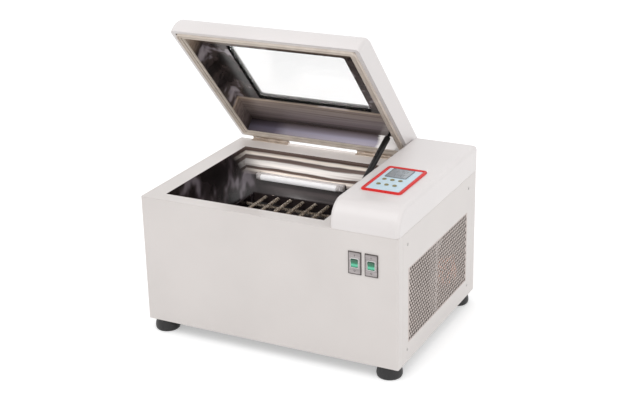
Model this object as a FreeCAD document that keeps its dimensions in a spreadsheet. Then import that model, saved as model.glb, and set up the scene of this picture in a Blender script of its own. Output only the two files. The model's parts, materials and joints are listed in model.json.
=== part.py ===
import FreeCAD, Part
import math
import os
import re
import Sketcher

# Incubated benchtop shaker. Millimetres, +Z up, front towards -Y, lid shown open.
# The formulas below are written in the frame of the cabinet: X and Y from its middle,
# Z from the bench. place_parts then moves every piece to the origin of the part,
# which is the bottom centre of the whole machine with its lid open.

DIMENSIONS = {
    # Cabinet, measured outwards from the chamber
    "chamber_side_space": 54,
    "machine_space": 220,
    "front_space": 41,
    "rear_space": 71,
    "drive_space": 126,
    "cover_height": 70,
    "sheet": 1.5,
    "edge_bend": 4,
    "panel_return": 28,
    "pan_flange": 20,
    "split_setback": 34,
    "split_gap": 1.5,
    "overrun": 5,
    "fit": 0.3,
    "shaft_fit": 0.05,
    # Feet
    "foot_height": 35,
    "foot_radius": 34,
    "foot_rim": 4,
    "foot_pad_height": 15,
    "foot_top_radius": 27,
    "foot_inset_x": 38,
    "foot_inset_y": 33,
    # Chamber
    "chamber_width": 466,
    "chamber_length": 426,
    "chamber_depth": 230,
    "tub_wall": 1,
    "collar_depth": 12,
    "foam": 25,
    # Cover on the right and lid
    "front_curve": 56,
    "shell_edge": 11,
    "shell_wall": 1.5,
    "lid_inset": 3.5,
    "lid_lift": 5.7,
    "lid_rim": 12,
    "lid_opening_angle": 48,
    "liner_depth": 42,
    "liner_wall": 1,
    "liner_rim": 31,
    "window_shift_x": -1.5,
    "window_shift_y": -7,
    "window_side_margin": 113,
    "window_end_margin": 160,
    "window_corner": 8,
    "pane": 4,
    "pane_lap": 12,
    "gasket_lip": 3,
    "seal_width": 12,
    "inner_seal_width": 6,
    "inner_seal_height": 4,
    # Hinges
    "hinge_setback": 1,
    "hinge_length": 120,
    "hinge_left_inset": 98.5,
    "hinge_right_inset": 113.25,
    "hinge_leaf": 1.6,
    "hinge_leaf_width": 15.2,
    "hinge_pin_radius": 1.4,
    "hinge_knuckles": 5,
    "upstand_inset": 9,
    "upstand_height": 5,
    # Lid strut
    "strut_wall_gap": 13,
    "strut_foot_reach": 314,
    "strut_foot_drop": 30,
    "strut_head_reach": 103,
    "strut_head_rise": 30,
    "strut_barrel_radius": 8.5,
    "strut_barrel_length": 204,
    "strut_rod_radius": 4,
    "strut_neck": 26,
    "strut_end_to_end": 314,
    "strut_eye_radius": 7,
    "strut_eye_width": 9,
    "strut_stud_radius": 4,
    "strut_stud_head": 6,
    # Control panel
    "bezel_inset_x": 96,
    "bezel_inset_y": 197,
    "bezel_width": 110,
    "bezel_length": 182,
    "bezel_band": 9,
    "bezel_rise": 5,
    "bezel_corner": 9,
    "keypad_rise": 2,
    "display_x": -5,
    "display_y": 47,
    "display_width": 60,
    "display_length": 64,
    "display_rise": 1,
    "display_corner": 3,
    "key_radius": 5.6,
    "key_clearance": 0.4,
    "key_rise": 1.6,
    "key_travel": 1.2,
    "key_dome": 0.8,
    "key_pitch": 22,
    "key_row_pitch": 37,
    "key_row_y": -2,
    "key_x": -5,
    "board_drop": 12,
    "board": 1.6,
    "board_margin": 14,
    "standoff_radius": 3,
    # Rocker switches
    "switch_inset": 116.5,
    "switch_pitch": 45,
    "switch_drop": 81,
    "switch_plate_width": 35,
    "switch_plate_height": 60,
    "switch_plate": 2.5,
    "switch_body_width": 26,
    "switch_body_height": 31,
    "switch_body_depth": 24,
    "rocker_width": 18.5,
    "rocker_radius": 11,
    "rocker_pivot_depth": 1,
    "rocker_tilt": 9,
    "rocker_back": 5,
    "rocker_clearance": 0.35,
    "rocker_pin_radius": 1.2,
    "rocker_pin_reach": 1.2,
    # Right side panel
    "vent_front_margin": 62,
    "vent_rear_margin": 65,
    "vent_bottom_margin": 51.5,
    "vent_top_margin": 100.5,
    "vent_pitch": 11.5,
    "vent_hole_radius": 4.7,
    "screw_inset_y": 57,
    "screw_inset_z": 34,
    "screw_head_radius": 4,
    "screw_head": 1.6,
    "screw_shank_radius": 2,
    "screw_shank": 6,
    # Mains inlet
    "inlet_inset": 70,
    "inlet_rise": 60,
    "inlet_flange_width": 50,
    "inlet_flange_height": 28,
    "inlet_flange": 3,
    "inlet_body_width": 32,
    "inlet_body_height": 24,
    "inlet_body_depth": 24,
    "inlet_socket_width": 25,
    "inlet_socket_height": 17,
    "inlet_socket_depth": 17,
    "inlet_pin_width": 2,
    "inlet_pin_height": 4,
    "inlet_pin_pitch": 7,
    "inlet_pin_length": 13,
    # Cooling
    "compressor_inset_x": 124,
    "compressor_inset_y": 119,
    "compressor_radius": 58,
    "compressor_height": 150,
    "compressor_dome": 34,
    "compressor_foot": 8,
    "compressor_foot_width": 128,
    "condenser_inset_x": 36,
    "condenser_inset_y": 169,
    "condenser_sink": 16,
    "condenser_thickness": 30,
    "condenser_width": 176,
    "condenser_over_vent": 13,
    "condenser_end_plate": 3,
    "condenser_end_depth": 46,
    "condenser_tube_radius": 4.8,
    "condenser_tubes": 6,
    "condenser_tube_bow": 9,
    "shroud_depth": 22,
    "shroud_margin": 14,
    "condenser_fan_clearance": 4,
    "coil_inset_x": 39,
    "coil_inset_y": 134,
    "coil_z": 133,
    "coil_radius": 43,
    "coil_tube_radius": 3,
    "coil_pitch": 8.5,
    "coil_turns": 3,
    "coil_post_width": 12,
    "fan_motor_radius": 27,
    "fan_motor_length": 46,
    "fan_bracket_width": 14,
    "fan_bracket": 4,
    "fan_gap": 4,
    "fan_shaft_radius": 3,
    "fan_shaft_depth": 24,
    "fan_hub_share": 0.34,
    "fan_width": 16,
    "fan_blade": 1.6,
    "fan_blade_pitch_share": 0.45,
    "fan_blades": 6,
    # Air heating in the chamber
    "duct_shift": 35,
    "duct_top_share": 0.1913,
    "duct_clearance": 8.5,
    "duct_width": 180,
    "duct_depth": 27,
    "duct_mouth_share": 0.405,
    "fan_mouth_share": 0.8,
    "chamber_fan_gap": 5,
    "chamber_fan_motor_radius": 22,
    "chamber_fan_motor_length": 34,
    "heater_margin": 6,
    "heater_tube_radius": 3,
    "shaft_hole_clearance": 4,
    # Lamp
    "lamp_shift": -49,
    "lamp_drop": 79,
    "lamp_margin": 186,
    "lamp_radius": 9,
    "lamp_stand_off": 21,
    "lamp_holder": 10,
    "lamp_holder_height": 20,
    "lamp_batten": 8,
    # Drive
    "orbit_radius": 10,
    "drive_column_radius": 30,
    "drive_column_height": 72,
    "drive_shaft_radius": 10,
    "drive_arm_radius": 26,
    "drive_arm": 7,
    "drive_pin_radius": 8,
    "drive_bearing_radius": 32,
    "bearing_height": 20,
    "arm_gap": 1,
    "idler_inset": 30,
    "idler_block_radius": 24,
    "idler_shaft_radius": 6,
    "idler_arm_radius": 18,
    "idler_pin_radius": 5,
    "pulley_z": 114,
    "pulley_face": 14,
    "pulley_flange": 2,
    "pulley_lip": 4,
    "pulley_radius": 60,
    "motor_pulley_radius": 22,
    "motor_distance": 150,
    "motor_radius": 40,
    "motor_shaft_radius": 6,
    "motor_shaft_depth": 34,
    "motor_boss_radius": 15,
    "motor_boss": 4,
    "belt": 3,
    # Platform
    "carrier": 10,
    "carrier_margin_x": 60,
    "carrier_margin_y": 90,
    "carrier_gap": 2,
    "platform_clearance": 12,
    "platform_lip": 14,
    "rack_post_share": 0.148,
    "rack_post": 12,
    "rack_rail": 5,
    "rack_rail_share": 0.1174,
    "rack_inset": 3,
    "rack_spring_radius": 5,
    "rack_spring_gap": 0.5,
    "rack_springs_across": 7,
    "rack_springs_along": 9,
    "rack_low_spring": 10,
}

# Sizes and places that follow from the ones above, as cells of the same sheet.
DERIVED = {
    "cabinet_width": "chamber_side_space + chamber_width + machine_space",
    "cabinet_depth": "front_space + chamber_length + rear_space",
    "deck_height": "foot_height + drive_space + chamber_depth",
    "closed_height": "deck_height + cover_height",
    "chamber_x": "(chamber_side_space - machine_space) / 2",
    "chamber_y": "(front_space - rear_space) / 2",
    "split_x": "chamber_x + chamber_width / 2 + split_setback",
    "window_x": "chamber_x + window_shift_x",
    "window_y": "chamber_y + window_shift_y",
    "window_width": "chamber_width - window_side_margin",
    "window_length": "chamber_length - window_end_margin",
    "hinge_left_x": "lid_inset - cabinet_width / 2 + hinge_left_inset",
    "hinge_right_x": "split_x - split_gap / 2 - hinge_right_inset",
    "strut_x": "chamber_x + chamber_width / 2 - strut_wall_gap",
    "strut_foot_y": "cabinet_depth / 2 + hinge_setback - strut_foot_reach",
    "strut_foot_z": "deck_height - strut_foot_drop",
    "strut_head_y": "cabinet_depth / 2 + hinge_setback - strut_head_reach",
    "strut_head_z": "deck_height + strut_head_rise",
    "strut_rod_length": "strut_end_to_end - strut_barrel_length",
    "bezel_x": "cabinet_width / 2 - bezel_inset_x",
    "bezel_y": "bezel_inset_y - cabinet_depth / 2",
    "switch_x": "cabinet_width / 2 - switch_inset",
    "switch_z": "deck_height - switch_drop",
    "vent_y": "(vent_front_margin - vent_rear_margin) / 2",
    "vent_width": "cabinet_depth - vent_front_margin - vent_rear_margin",
    "vent_height": "deck_height - foot_height - vent_bottom_margin - vent_top_margin",
    "vent_z": "foot_height + vent_bottom_margin + vent_height / 2",
    "screw_y": "cabinet_depth / 2 - screw_inset_y",
    "screw_bottom_z": "foot_height + screw_inset_z",
    "screw_top_z": "deck_height - screw_inset_z",
    "inlet_x": "cabinet_width / 2 - inlet_inset",
    "inlet_z": "foot_height + inlet_rise",
    "compressor_x": "cabinet_width / 2 - compressor_inset_x",
    "compressor_y": "cabinet_depth / 2 - compressor_inset_y",
    "condenser_x": "cabinet_width / 2 - condenser_inset_x",
    "condenser_y": "condenser_inset_y - cabinet_depth / 2",
    "condenser_z": "vent_z - condenser_sink",
    "condenser_height": "vent_height + condenser_over_vent",
    "condenser_fan_radius": "min(condenser_width, condenser_height) / 2 - shroud_margin",
    "coil_x": "cabinet_width / 2 - coil_inset_x",
    "coil_y": "cabinet_depth / 2 - coil_inset_y",
    "tray_level": "tub_wall + bearing_height + arm_gap + drive_arm + carrier_gap + carrier",
    "rack_post_height": "chamber_depth * rack_post_share",
    "rack_rail_height": "chamber_depth * rack_rail_share",
    "rack_top": "tray_level + sheet + rack_post_height + rack_rail_height",
    "duct_top_drop": "chamber_depth * duct_top_share",
    "duct_height": "chamber_depth - duct_top_drop - rack_top - duct_clearance",
    "duct_y": "chamber_y + duct_shift",
    "duct_z": "deck_height - duct_top_drop - duct_height / 2",
    "duct_mouth_radius": "duct_height * duct_mouth_share",
    "chamber_fan_radius": "duct_mouth_radius * fan_mouth_share",
    "heater_ring_radius": "duct_height / 2 - heater_margin",
    "lamp_x": "chamber_x + lamp_shift",
    "lamp_z": "deck_height - lamp_drop",
    "lamp_length": "chamber_width - lamp_margin",
    "platform_width": "chamber_width - 2 * (tub_wall + orbit_radius + platform_clearance)",
    "platform_length": "chamber_length - 2 * (tub_wall + orbit_radius + platform_clearance)",
    "carrier_width": "platform_width - carrier_margin_x",
    "carrier_length": "platform_length - carrier_margin_y",
    "idler_pitch_x": "carrier_width / 2 - idler_inset",
    "idler_pitch_y": "carrier_length / 2 - idler_inset",
}

# Levels and edges that several pieces share, as formulas of the sizes above.
SIDE = "(cabinet_width / 2)"
REAR = "(cabinet_depth / 2)"
DECK_UNDERSIDE = "(deck_height - sheet)"
PAN_TOP = "(foot_height + sheet)"
HOUSING_LEFT = "(split_x + split_gap / 2)"
TUB_LEFT = "(chamber_x - chamber_width / 2)"
TUB_RIGHT = "(chamber_x + chamber_width / 2)"
TUB_FRONT = "(chamber_y - chamber_length / 2)"
TUB_REAR = "(chamber_y + chamber_length / 2)"
TUB_BOTTOM = "(deck_height - chamber_depth)"
TUB_FLOOR = "(deck_height - chamber_depth + tub_wall)"
LID_LEFT = "(-cabinet_width / 2 + lid_inset)"
LID_RIGHT = "(split_x - split_gap / 2)"
LID_FRONT = "(-cabinet_depth / 2)"
LID_REAR = "(cabinet_depth / 2 - lid_inset)"
LID_BOTTOM = "(deck_height + lid_lift)"
LINER_TOP = "(deck_height + lid_lift + shell_wall + liner_depth)"
HINGE_Y = "(cabinet_depth / 2 + hinge_setback)"
HINGE_Z = "(deck_height + lid_lift / 2)"
KEYPAD_TOP = "(closed_height + keypad_rise)"
ARM_BOTTOM = "(deck_height - chamber_depth + tub_wall + bearing_height + arm_gap)"
ARM_TOP = "(deck_height - chamber_depth + tub_wall + bearing_height + arm_gap + drive_arm)"
CARRIER_BOTTOM = "(deck_height - chamber_depth + tray_level - carrier)"
TRAY_BOTTOM = "(deck_height - chamber_depth + tray_level)"
VENT_BOTTOM = "(vent_z - vent_height / 2)"

doc = FreeCAD.newDocument("incubated_shaker")
dims = doc.addObject("Spreadsheet::Sheet", "dims")
parts = {}


def fill_sheet():
    """Write every size in a row of the sheet, under its own name."""
    cells = {name: str(size) for name, size in DIMENSIONS.items()}
    cells.update((name, f"={text}") for name, text in DERIVED.items())
    for row, (name, content) in enumerate(cells.items(), start=1):
        dims.set(f"A{row}", name)
        dims.setAlias(f"B{row}", name)
        dims.set(f"B{row}", content)
    doc.recompute()


def formula(text):
    """Turn names of sizes into references to the sheet, and leave functions alone."""
    return re.sub(r"\b([a-z][a-z_]*)\b(?!\s*\()", r"dims.\1", str(text))


def value(text):
    """Return the number that a formula of the sizes has now."""
    result = dims.evalExpression(formula(text))
    return float(getattr(result, "Value", result))


def bind(feature, formulas):
    """Tie properties of a feature to formulas of the sizes."""
    for name, text in formulas.items():
        feature.setExpression(name, formula(text))
    return feature


def base_at(x, y, z):
    return {"Placement.Base.x": x, "Placement.Base.y": y, "Placement.Base.z": z}


def box(x_ends, y_ends, z_ends):
    """Make a block between two formulas on each axis."""
    block = doc.addObject("Part::Box", "Block")
    lengths = [f"({ends[1]}) - ({ends[0]})" for ends in (x_ends, y_ends, z_ends)]
    bind(block, dict(zip(("Length", "Width", "Height"), lengths)))
    return bind(block, base_at(x_ends[0], y_ends[0], z_ends[0]))


AXIS_TURNS = {
    "x": FreeCAD.Rotation(FreeCAD.Vector(0, 1, 0), 90),
    "y": FreeCAD.Rotation(FreeCAD.Vector(1, 0, 0), -90),
    "z": FreeCAD.Rotation(),
}


def along(axis, centre, start):
    """Order a centre and a start level as x, y and z formulas for an axis."""
    orders = {
        "x": (start, centre[0], centre[1]),
        "y": (centre[0], start, centre[1]),
        "z": (centre[0], centre[1], start),
    }
    return base_at(*orders[axis])


def cylinder(axis, centre, radius, ends):
    """Make a round bar along an axis, centred on the other two coordinates."""
    bar = doc.addObject("Part::Cylinder", "Bar")
    bar.Placement = FreeCAD.Placement(FreeCAD.Vector(), AXIS_TURNS[axis])
    bind(bar, {"Radius": radius, "Height": f"({ends[1]}) - ({ends[0]})"})
    return bind(bar, along(axis, centre, ends[0]))


def cone(centre, radii, ends):
    """Make an upright cone between two radii and two levels."""
    solid = doc.addObject("Part::Cone", "Taper")
    height = f"({ends[1]}) - ({ends[0]})"
    bind(solid, {"Radius1": radii[0], "Radius2": radii[1], "Height": height})
    return bind(solid, along("z", centre, ends[0]))


def group(*pieces):
    """Keep separate solids together as one sub-part."""
    compound = doc.addObject("Part::Compound", "Group")
    compound.Links = list(pieces)
    return compound


def fuse(*pieces):
    union = doc.addObject("Part::MultiFuse", "Union")
    union.Shapes = list(pieces)
    return union


def cut(base, *tools):
    """Take one or more tools, which don't touch each other, out of a base."""
    difference = doc.addObject("Part::Cut", "Cut")
    difference.Base = base
    difference.Tool = tools[0] if len(tools) == 1 else group(*tools)
    return difference


def name_part(label, feature):
    """Enter a finished sub-part under the name of its file."""
    feature.Label = label
    parts[label] = feature
    return feature


def new_body(label):
    return doc.addObject("PartDesign::Body", label.title().replace("_", ""))


def new_sketch(body, role, offset="0"):
    """Start a sketch on one of the body's own origin planes, moved along its normal."""
    plane = next(item for item in body.Origin.OriginFeatures if item.Role == role)
    sketch = body.newObject("Sketcher::SketchObject", "Outline")
    sketch.AttachmentSupport = [(plane, "")]
    sketch.MapMode = "FlatFace"
    sketch.setExpression("AttachmentOffset.Base.z", formula(offset))
    return sketch


def tie_point(sketch, curve, end, x_formula, y_formula):
    """Hold one end of a curve at two formulas, measured from the sketch's origin."""
    for kind, text in (("DistanceX", x_formula), ("DistanceY", y_formula)):
        rule = Sketcher.Constraint(kind, -1, 1, curve, end, value(text))
        index = sketch.addConstraint(rule)
        sketch.setExpression(f"Constraints[{index}]", formula(text))


def arc_middle(start, end, radius):
    """Point halfway along a short arc: counterclockwise if the radius is positive."""
    chord = end - start
    outward = FreeCAD.Vector(chord.y, -chord.x, 0).normalize()
    half = chord.Length / 2
    rise = abs(radius) - math.sqrt(max(radius * radius - half * half, 0))
    return start + chord / 2 + outward * math.copysign(rise, radius)


def draw_loop(sketch, corners):
    """Draw a closed loop. A corner with a third entry is reached along an arc."""
    first = sketch.GeometryCount
    points = [FreeCAD.Vector(value(spot[0]), value(spot[1]), 0) for spot in corners]
    ends = []
    for index, corner in enumerate(corners):
        start = points[index - 1]
        end = points[index]
        if len(corner) == 2:
            sketch.addGeometry(Part.LineSegment(start, end))
            ends.append((1, 2))
            continue
        radius = value(corner[2])
        arc = Part.Arc(start, arc_middle(start, end, radius), end)
        curve = sketch.addGeometry(arc)
        rule = Sketcher.Constraint("Radius", curve, abs(radius))
        held = sketch.addConstraint(rule)
        sketch.setExpression(f"Constraints[{held}]", formula(f"abs({corner[2]})"))
        ends.append((1, 2) if radius > 0 else (2, 1))
    for index, corner in enumerate(corners):
        following = (index + 1) % len(corners)
        joined = (first + index, ends[index][1], first + following, ends[following][0])
        sketch.addConstraint(Sketcher.Constraint("Coincident", *joined))
        tie_point(sketch, first + index, ends[index][1], corner[0], corner[1])


def draw_circle(sketch, x_formula, y_formula, radius):
    centre = FreeCAD.Vector(value(x_formula), value(y_formula), 0)
    up = FreeCAD.Vector(0, 0, 1)
    curve = sketch.addGeometry(Part.Circle(centre, up, value(radius)))
    held = sketch.addConstraint(Sketcher.Constraint("Radius", curve, value(radius)))
    sketch.setExpression(f"Constraints[{held}]", formula(radius))
    tie_point(sketch, curve, 3, x_formula, y_formula)


def pad(body, sketch, length, reverse=False):
    feature = body.newObject("PartDesign::Pad", "Pad")
    feature.Profile = sketch
    feature.Reversed = reverse
    sketch.Visibility = False
    return bind(feature, {"Length": length})


def rounded_corners(x_ends, y_ends, radius):
    """Corners of a rectangle with round corners, counterclockwise."""
    left, right = (f"({edge})" for edge in x_ends)
    low, high = (f"({edge})" for edge in y_ends)
    return [
        (f"{right} - {radius}", low),
        (right, f"{low} + {radius}", radius),
        (right, f"{high} - {radius}"),
        (f"{right} - {radius}", high, radius),
        (f"{left} + {radius}", high),
        (left, f"{high} - {radius}", radius),
        (left, f"{low} + {radius}"),
        (f"{left} + {radius}", low, radius),
    ]


def rounded_block(label, x_ends, y_ends, z_ends, radius):
    """Upright plate or block with round vertical corners."""
    body = new_body(label)
    sketch = new_sketch(body, "XY_Plane", z_ends[0])
    draw_loop(sketch, rounded_corners(x_ends, y_ends, radius))
    pad(body, sketch, f"({z_ends[1]}) - ({z_ends[0]})")
    return body


def turned(label, outline):
    """Turn an outline of radius and level formulas about the vertical axis."""
    body = new_body(label)
    sketch = new_sketch(body, "XZ_Plane")
    draw_loop(sketch, outline)
    feature = body.newObject("PartDesign::Revolution", "Turn")
    feature.Profile = sketch
    feature.ReferenceAxis = (sketch, ["V_Axis"])
    feature.Angle = 360
    return body


def ring_of(x_ends, y_ends, z_ends, band):
    """Upright rectangular ring whose band has one width all round."""
    inner_x = (f"{x_ends[0]} + {band}", f"{x_ends[1]} - {band}")
    inner_y = (f"{y_ends[0]} + {band}", f"{y_ends[1]} - {band}")
    through = (f"{z_ends[0]} - overrun", f"{z_ends[1]} + overrun")
    return cut(box(x_ends, y_ends, z_ends), box(inner_x, inner_y, through))


def grown(ends, size):
    return (f"{ends[0]} - ({size})", f"{ends[1]} + ({size})")


def around(centre, size):
    return (f"({centre} - {size} / 2)", f"({centre} + {size} / 2)")


def make_feet():
    """Four feet: a pad with a bevelled rim that narrows upwards."""
    feet = []
    for x_side in (-1, 1):
        for y_side in (-1, 1):
            spot = (
                f"{x_side} * (cabinet_width / 2 - foot_inset_x)",
                f"{y_side} * (cabinet_depth / 2 - foot_inset_y)",
            )
            pieces = (
                cone(spot, ("foot_radius - foot_rim", "foot_radius"), ("0", "foot_rim")),
                cylinder("z", spot, "foot_radius", ("foot_rim", "foot_pad_height")),
                cone(spot, ("foot_radius", "foot_top_radius"), ("foot_pad_height", "foot_height")),
            )
            feet.append(fuse(*pieces))
    name_part("rubber_feet", group(*feet))


def make_base_pan():
    """Bottom plate with a strip for the screws of the panels along each side."""
    x_ends = grown((f"-{SIDE}", SIDE), "-(sheet + fit)")
    y_ends = grown((f"-{REAR}", REAR), "-(sheet + fit)")
    plate = rounded_block("pan_plate", x_ends, y_ends, ("foot_height", PAN_TOP), "edge_bend")
    strip_z = (PAN_TOP, "foot_height + pan_flange")
    run_x = grown(x_ends, "-edge_bend")
    run_y = grown(y_ends, "-edge_bend")
    strips = [
        box(run_x, (y_ends[0], f"{y_ends[0]} + sheet"), strip_z),
        box(run_x, (f"{y_ends[1]} - sheet", y_ends[1]), strip_z),
        box((x_ends[0], f"{x_ends[0]} + sheet"), run_y, strip_z),
        box((f"{x_ends[1]} - sheet", x_ends[1]), run_y, strip_z),
    ]
    name_part("base_pan", group(plate, *strips))


def channel_corners(side):
    """Plan of a panel with a return at both ends: side is -1 in front, 1 at the rear."""
    face = f"{side} * {REAR}"
    inner_face = f"{side} * ({REAR} - sheet)"
    bend = f"{side} * ({REAR} - edge_bend)"
    rim = f"{side} * ({REAR} - panel_return)"
    outer = f"{-side} * edge_bend"
    inner = f"{side} * (edge_bend - sheet)"
    left = f"-{SIDE}"
    return [
        (left, rim),
        (left, bend),
        (f"{left} + edge_bend", face, outer),
        (f"{SIDE} - edge_bend", face),
        (SIDE, bend, outer),
        (SIDE, rim),
        (f"{SIDE} - sheet", rim),
        (f"{SIDE} - sheet", bend),
        (f"{SIDE} - edge_bend", inner_face, inner),
        (f"{left} + edge_bend", inner_face),
        (f"{left} + sheet", bend, inner),
        (f"{left} + sheet", rim),
    ]


def channel_panel(label, side):
    body = new_body(label)
    sketch = new_sketch(body, "XY_Plane", "foot_height")
    draw_loop(sketch, channel_corners(side))
    pad(body, sketch, f"{DECK_UNDERSIDE} - foot_height")
    return body


def switch_centres():
    return [f"(switch_x + {index} * switch_pitch)" for index in range(2)]


def make_front_panel():
    openings = []
    for centre in switch_centres():
        openings.append(box(
            around(centre, "switch_body_width"),
            (f"-{REAR} - overrun", f"-{REAR} + overrun"),
            around("switch_z", "switch_body_height"),
        ))
    name_part("front_panel", cut(channel_panel("front_sheet", -1), *openings))


def make_rear_panel():
    opening = box(
        around("inlet_x", "inlet_body_width"),
        (f"{REAR} - overrun", f"{REAR} + overrun"),
        around("inlet_z", "inlet_body_height"),
    )
    name_part("rear_panel", cut(channel_panel("rear_sheet", 1), opening))


def screw_places():
    return [
        (y_formula, z_formula)
        for y_formula in ("-screw_y", "screw_y")
        for z_formula in ("screw_bottom_z", "screw_top_z")
    ]


def side_sheet(side):
    """Flat side panel between the returns, with a hole for each screw."""
    x_ends = (f"-{SIDE}", f"-{SIDE} + sheet") if side < 0 else (f"{SIDE} - sheet", SIDE)
    y_ends = (f"-{REAR} + panel_return", f"{REAR} - panel_return")
    sheet = box(x_ends, y_ends, ("foot_height", DECK_UNDERSIDE))
    holes = []
    for spot in screw_places():
        holes.append(cylinder("x", spot, "screw_shank_radius", grown(x_ends, "overrun")))
    return sheet, holes


def make_side_panels():
    sheet, holes = side_sheet(-1)
    name_part("left_panel", cut(sheet, *holes))
    sheet, holes = side_sheet(1)
    vent = box(
        (f"{SIDE} - overrun", f"{SIDE} + overrun"),
        around("vent_y", "vent_width"),
        around("vent_z", "vent_height"),
    )
    name_part("right_panel", cut(sheet, vent, *holes))


def make_panel_screws():
    """Pan-head screws of both side panels, as separate solids."""
    screws = []
    for side in (-1, 1):
        for spot in screw_places():
            head = (SIDE, f"{SIDE} + screw_head")
            shank = (f"{SIDE} - screw_shank", SIDE)
            if side < 0:
                head = (f"-{SIDE} - screw_head", f"-{SIDE}")
                shank = (f"-{SIDE}", f"-{SIDE} + screw_shank")
            screws.append(fuse(
                cylinder("x", spot, "screw_head_radius", head),
                cylinder("x", spot, "screw_shank_radius", shank),
            ))
    name_part("panel_screws", group(*screws))


def vent_holes():
    """Places of the staggered round holes on the vent, from its lower front corner."""
    pitch = value("vent_pitch")
    radius = value("vent_hole_radius")
    width = value("vent_width")
    height = value("vent_height")
    row_pitch = pitch * math.sqrt(3) / 2
    rows = int((height - pitch) / row_pitch) + 1
    columns = int((width - pitch) / pitch) + 1
    margin_y = (width - (columns - 1) * pitch) / 2
    margin_z = (height - (rows - 1) * row_pitch) / 2
    holes = []
    for row in range(rows):
        shift = pitch / 2 if row % 2 else 0
        for column in range(columns):
            y_place = margin_y + shift + column * pitch
            if y_place + radius < width:
                holes.append((y_place, margin_z + row * row_pitch))
    return holes


def make_vent_grille():
    """Perforated field of the right side panel, flush with the sheet round it."""
    left = value(f"{SIDE} - sheet")
    front = value("vent_y - vent_width / 2")
    bottom = value(VENT_BOTTOM)
    side_normal = FreeCAD.Vector(1, 0, 0)
    corner = FreeCAD.Vector(left, front, bottom)
    along_y = FreeCAD.Vector(0, value("vent_width"), 0)
    along_z = FreeCAD.Vector(0, 0, value("vent_height"))
    outline = [corner, corner + along_y, corner + along_y + along_z, corner + along_z, corner]
    plate = Part.Face(Part.makePolygon(outline))
    discs = []
    for y_place, z_place in vent_holes():
        centre = corner + FreeCAD.Vector(0, y_place, z_place)
        edge = Part.makeCircle(value("vent_hole_radius"), centre, side_normal)
        discs.append(Part.Face(Part.Wire(edge)))
    holed = plate.cut(Part.makeCompound(discs)).Faces[0]
    grille = doc.addObject("Part::Feature", "VentGrille")
    grille.Shape = holed.extrude(side_normal * value("sheet"))
    name_part("vent_grille", grille)


def make_top_deck():
    """Top sheet with the chamber opening, a collar round it and a cable opening."""
    edges_x = (f"-{SIDE}", SIDE)
    edges_y = (f"-{REAR}", REAR)
    sheet = rounded_block("deck_sheet", edges_x, edges_y, (DECK_UNDERSIDE, "deck_height"), "edge_bend")
    tub_x = (TUB_LEFT, TUB_RIGHT)
    tub_y = (TUB_FRONT, TUB_REAR)
    collar_z = ("deck_height - collar_depth", DECK_UNDERSIDE)
    collar = box(grown(tub_x, "sheet"), grown(tub_y, "sheet"), collar_z)
    opening = box(tub_x, tub_y, ("deck_height - collar_depth - overrun", "deck_height + overrun"))
    cables = box(
        around("bezel_x", "bezel_width"),
        around("bezel_y", "bezel_length"),
        (f"{DECK_UNDERSIDE} - overrun", "deck_height + overrun"),
    )
    name_part("top_deck", cut(fuse(sheet, collar, rear_upstand()), opening, cables))


def rear_upstand():
    """Low flange on the deck between the hinges, which closes the gap under the lid's rear edge."""
    left, right = hinge_starts()
    ends = (f"{left} + hinge_length", right)
    rear = f"{REAR} - upstand_inset + sheet"
    depth = (f"{REAR} - upstand_inset", rear)
    return box(grown(ends, "-fit"), depth, (DECK_UNDERSIDE, "deck_height + upstand_height"))


def fan_shaft_hole(x_ends):
    """Passage of the chamber fan's shaft through a wall."""
    radius = "fan_shaft_radius + shaft_hole_clearance"
    return cylinder("x", ("duct_y", "duct_z"), radius, grown(x_ends, "overrun"))


def drive_shaft_hole(z_ends):
    """Passage of the main shaft through a floor."""
    radius = "drive_shaft_radius + shaft_hole_clearance"
    return cylinder("z", ("chamber_x", "chamber_y"), radius, grown(z_ends, "overrun"))


def make_chamber_tub():
    """Polished tub that hangs flush in the deck opening."""
    tub_x = (TUB_LEFT, TUB_RIGHT)
    tub_y = (TUB_FRONT, TUB_REAR)
    shell = box(tub_x, tub_y, (TUB_BOTTOM, "deck_height"))
    hollow = box(
        grown(tub_x, "-tub_wall"),
        grown(tub_y, "-tub_wall"),
        (TUB_FLOOR, "deck_height + overrun"),
    )
    drive_hole = drive_shaft_hole((TUB_BOTTOM, TUB_FLOOR))
    fan_hole = fan_shaft_hole((f"{TUB_RIGHT} - tub_wall", TUB_RIGHT))
    name_part("chamber_tub", cut(shell, fuse(hollow, drive_hole, fan_hole)))


def make_insulation():
    """Foam jacket round the tub, up to the collar."""
    tub_x = (TUB_LEFT, TUB_RIGHT)
    tub_y = (TUB_FRONT, TUB_REAR)
    top = "deck_height - collar_depth"
    jacket = box(grown(tub_x, "foam"), grown(tub_y, "foam"), (f"{TUB_BOTTOM} - foam", top))
    space = box(tub_x, tub_y, (TUB_BOTTOM, f"{top} + overrun"))
    drive_hole = drive_shaft_hole((f"{TUB_BOTTOM} - foam", TUB_BOTTOM))
    fan_hole = fan_shaft_hole((TUB_RIGHT, f"{TUB_RIGHT} + foam"))
    name_part("chamber_insulation", cut(jacket, fuse(space, drive_hole, fan_hole)))


def make_bulkhead():
    """Upright sheet between the foam and the machine space."""
    x_ends = (f"{TUB_RIGHT} + foam", f"{TUB_RIGHT} + foam + sheet")
    y_ends = grown((f"-{REAR}", REAR), "-2 * (sheet + fit)")
    sheet = box(x_ends, y_ends, (PAN_TOP, DECK_UNDERSIDE))
    name_part("bulkhead", cut(sheet, fan_shaft_hole(x_ends)))


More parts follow.
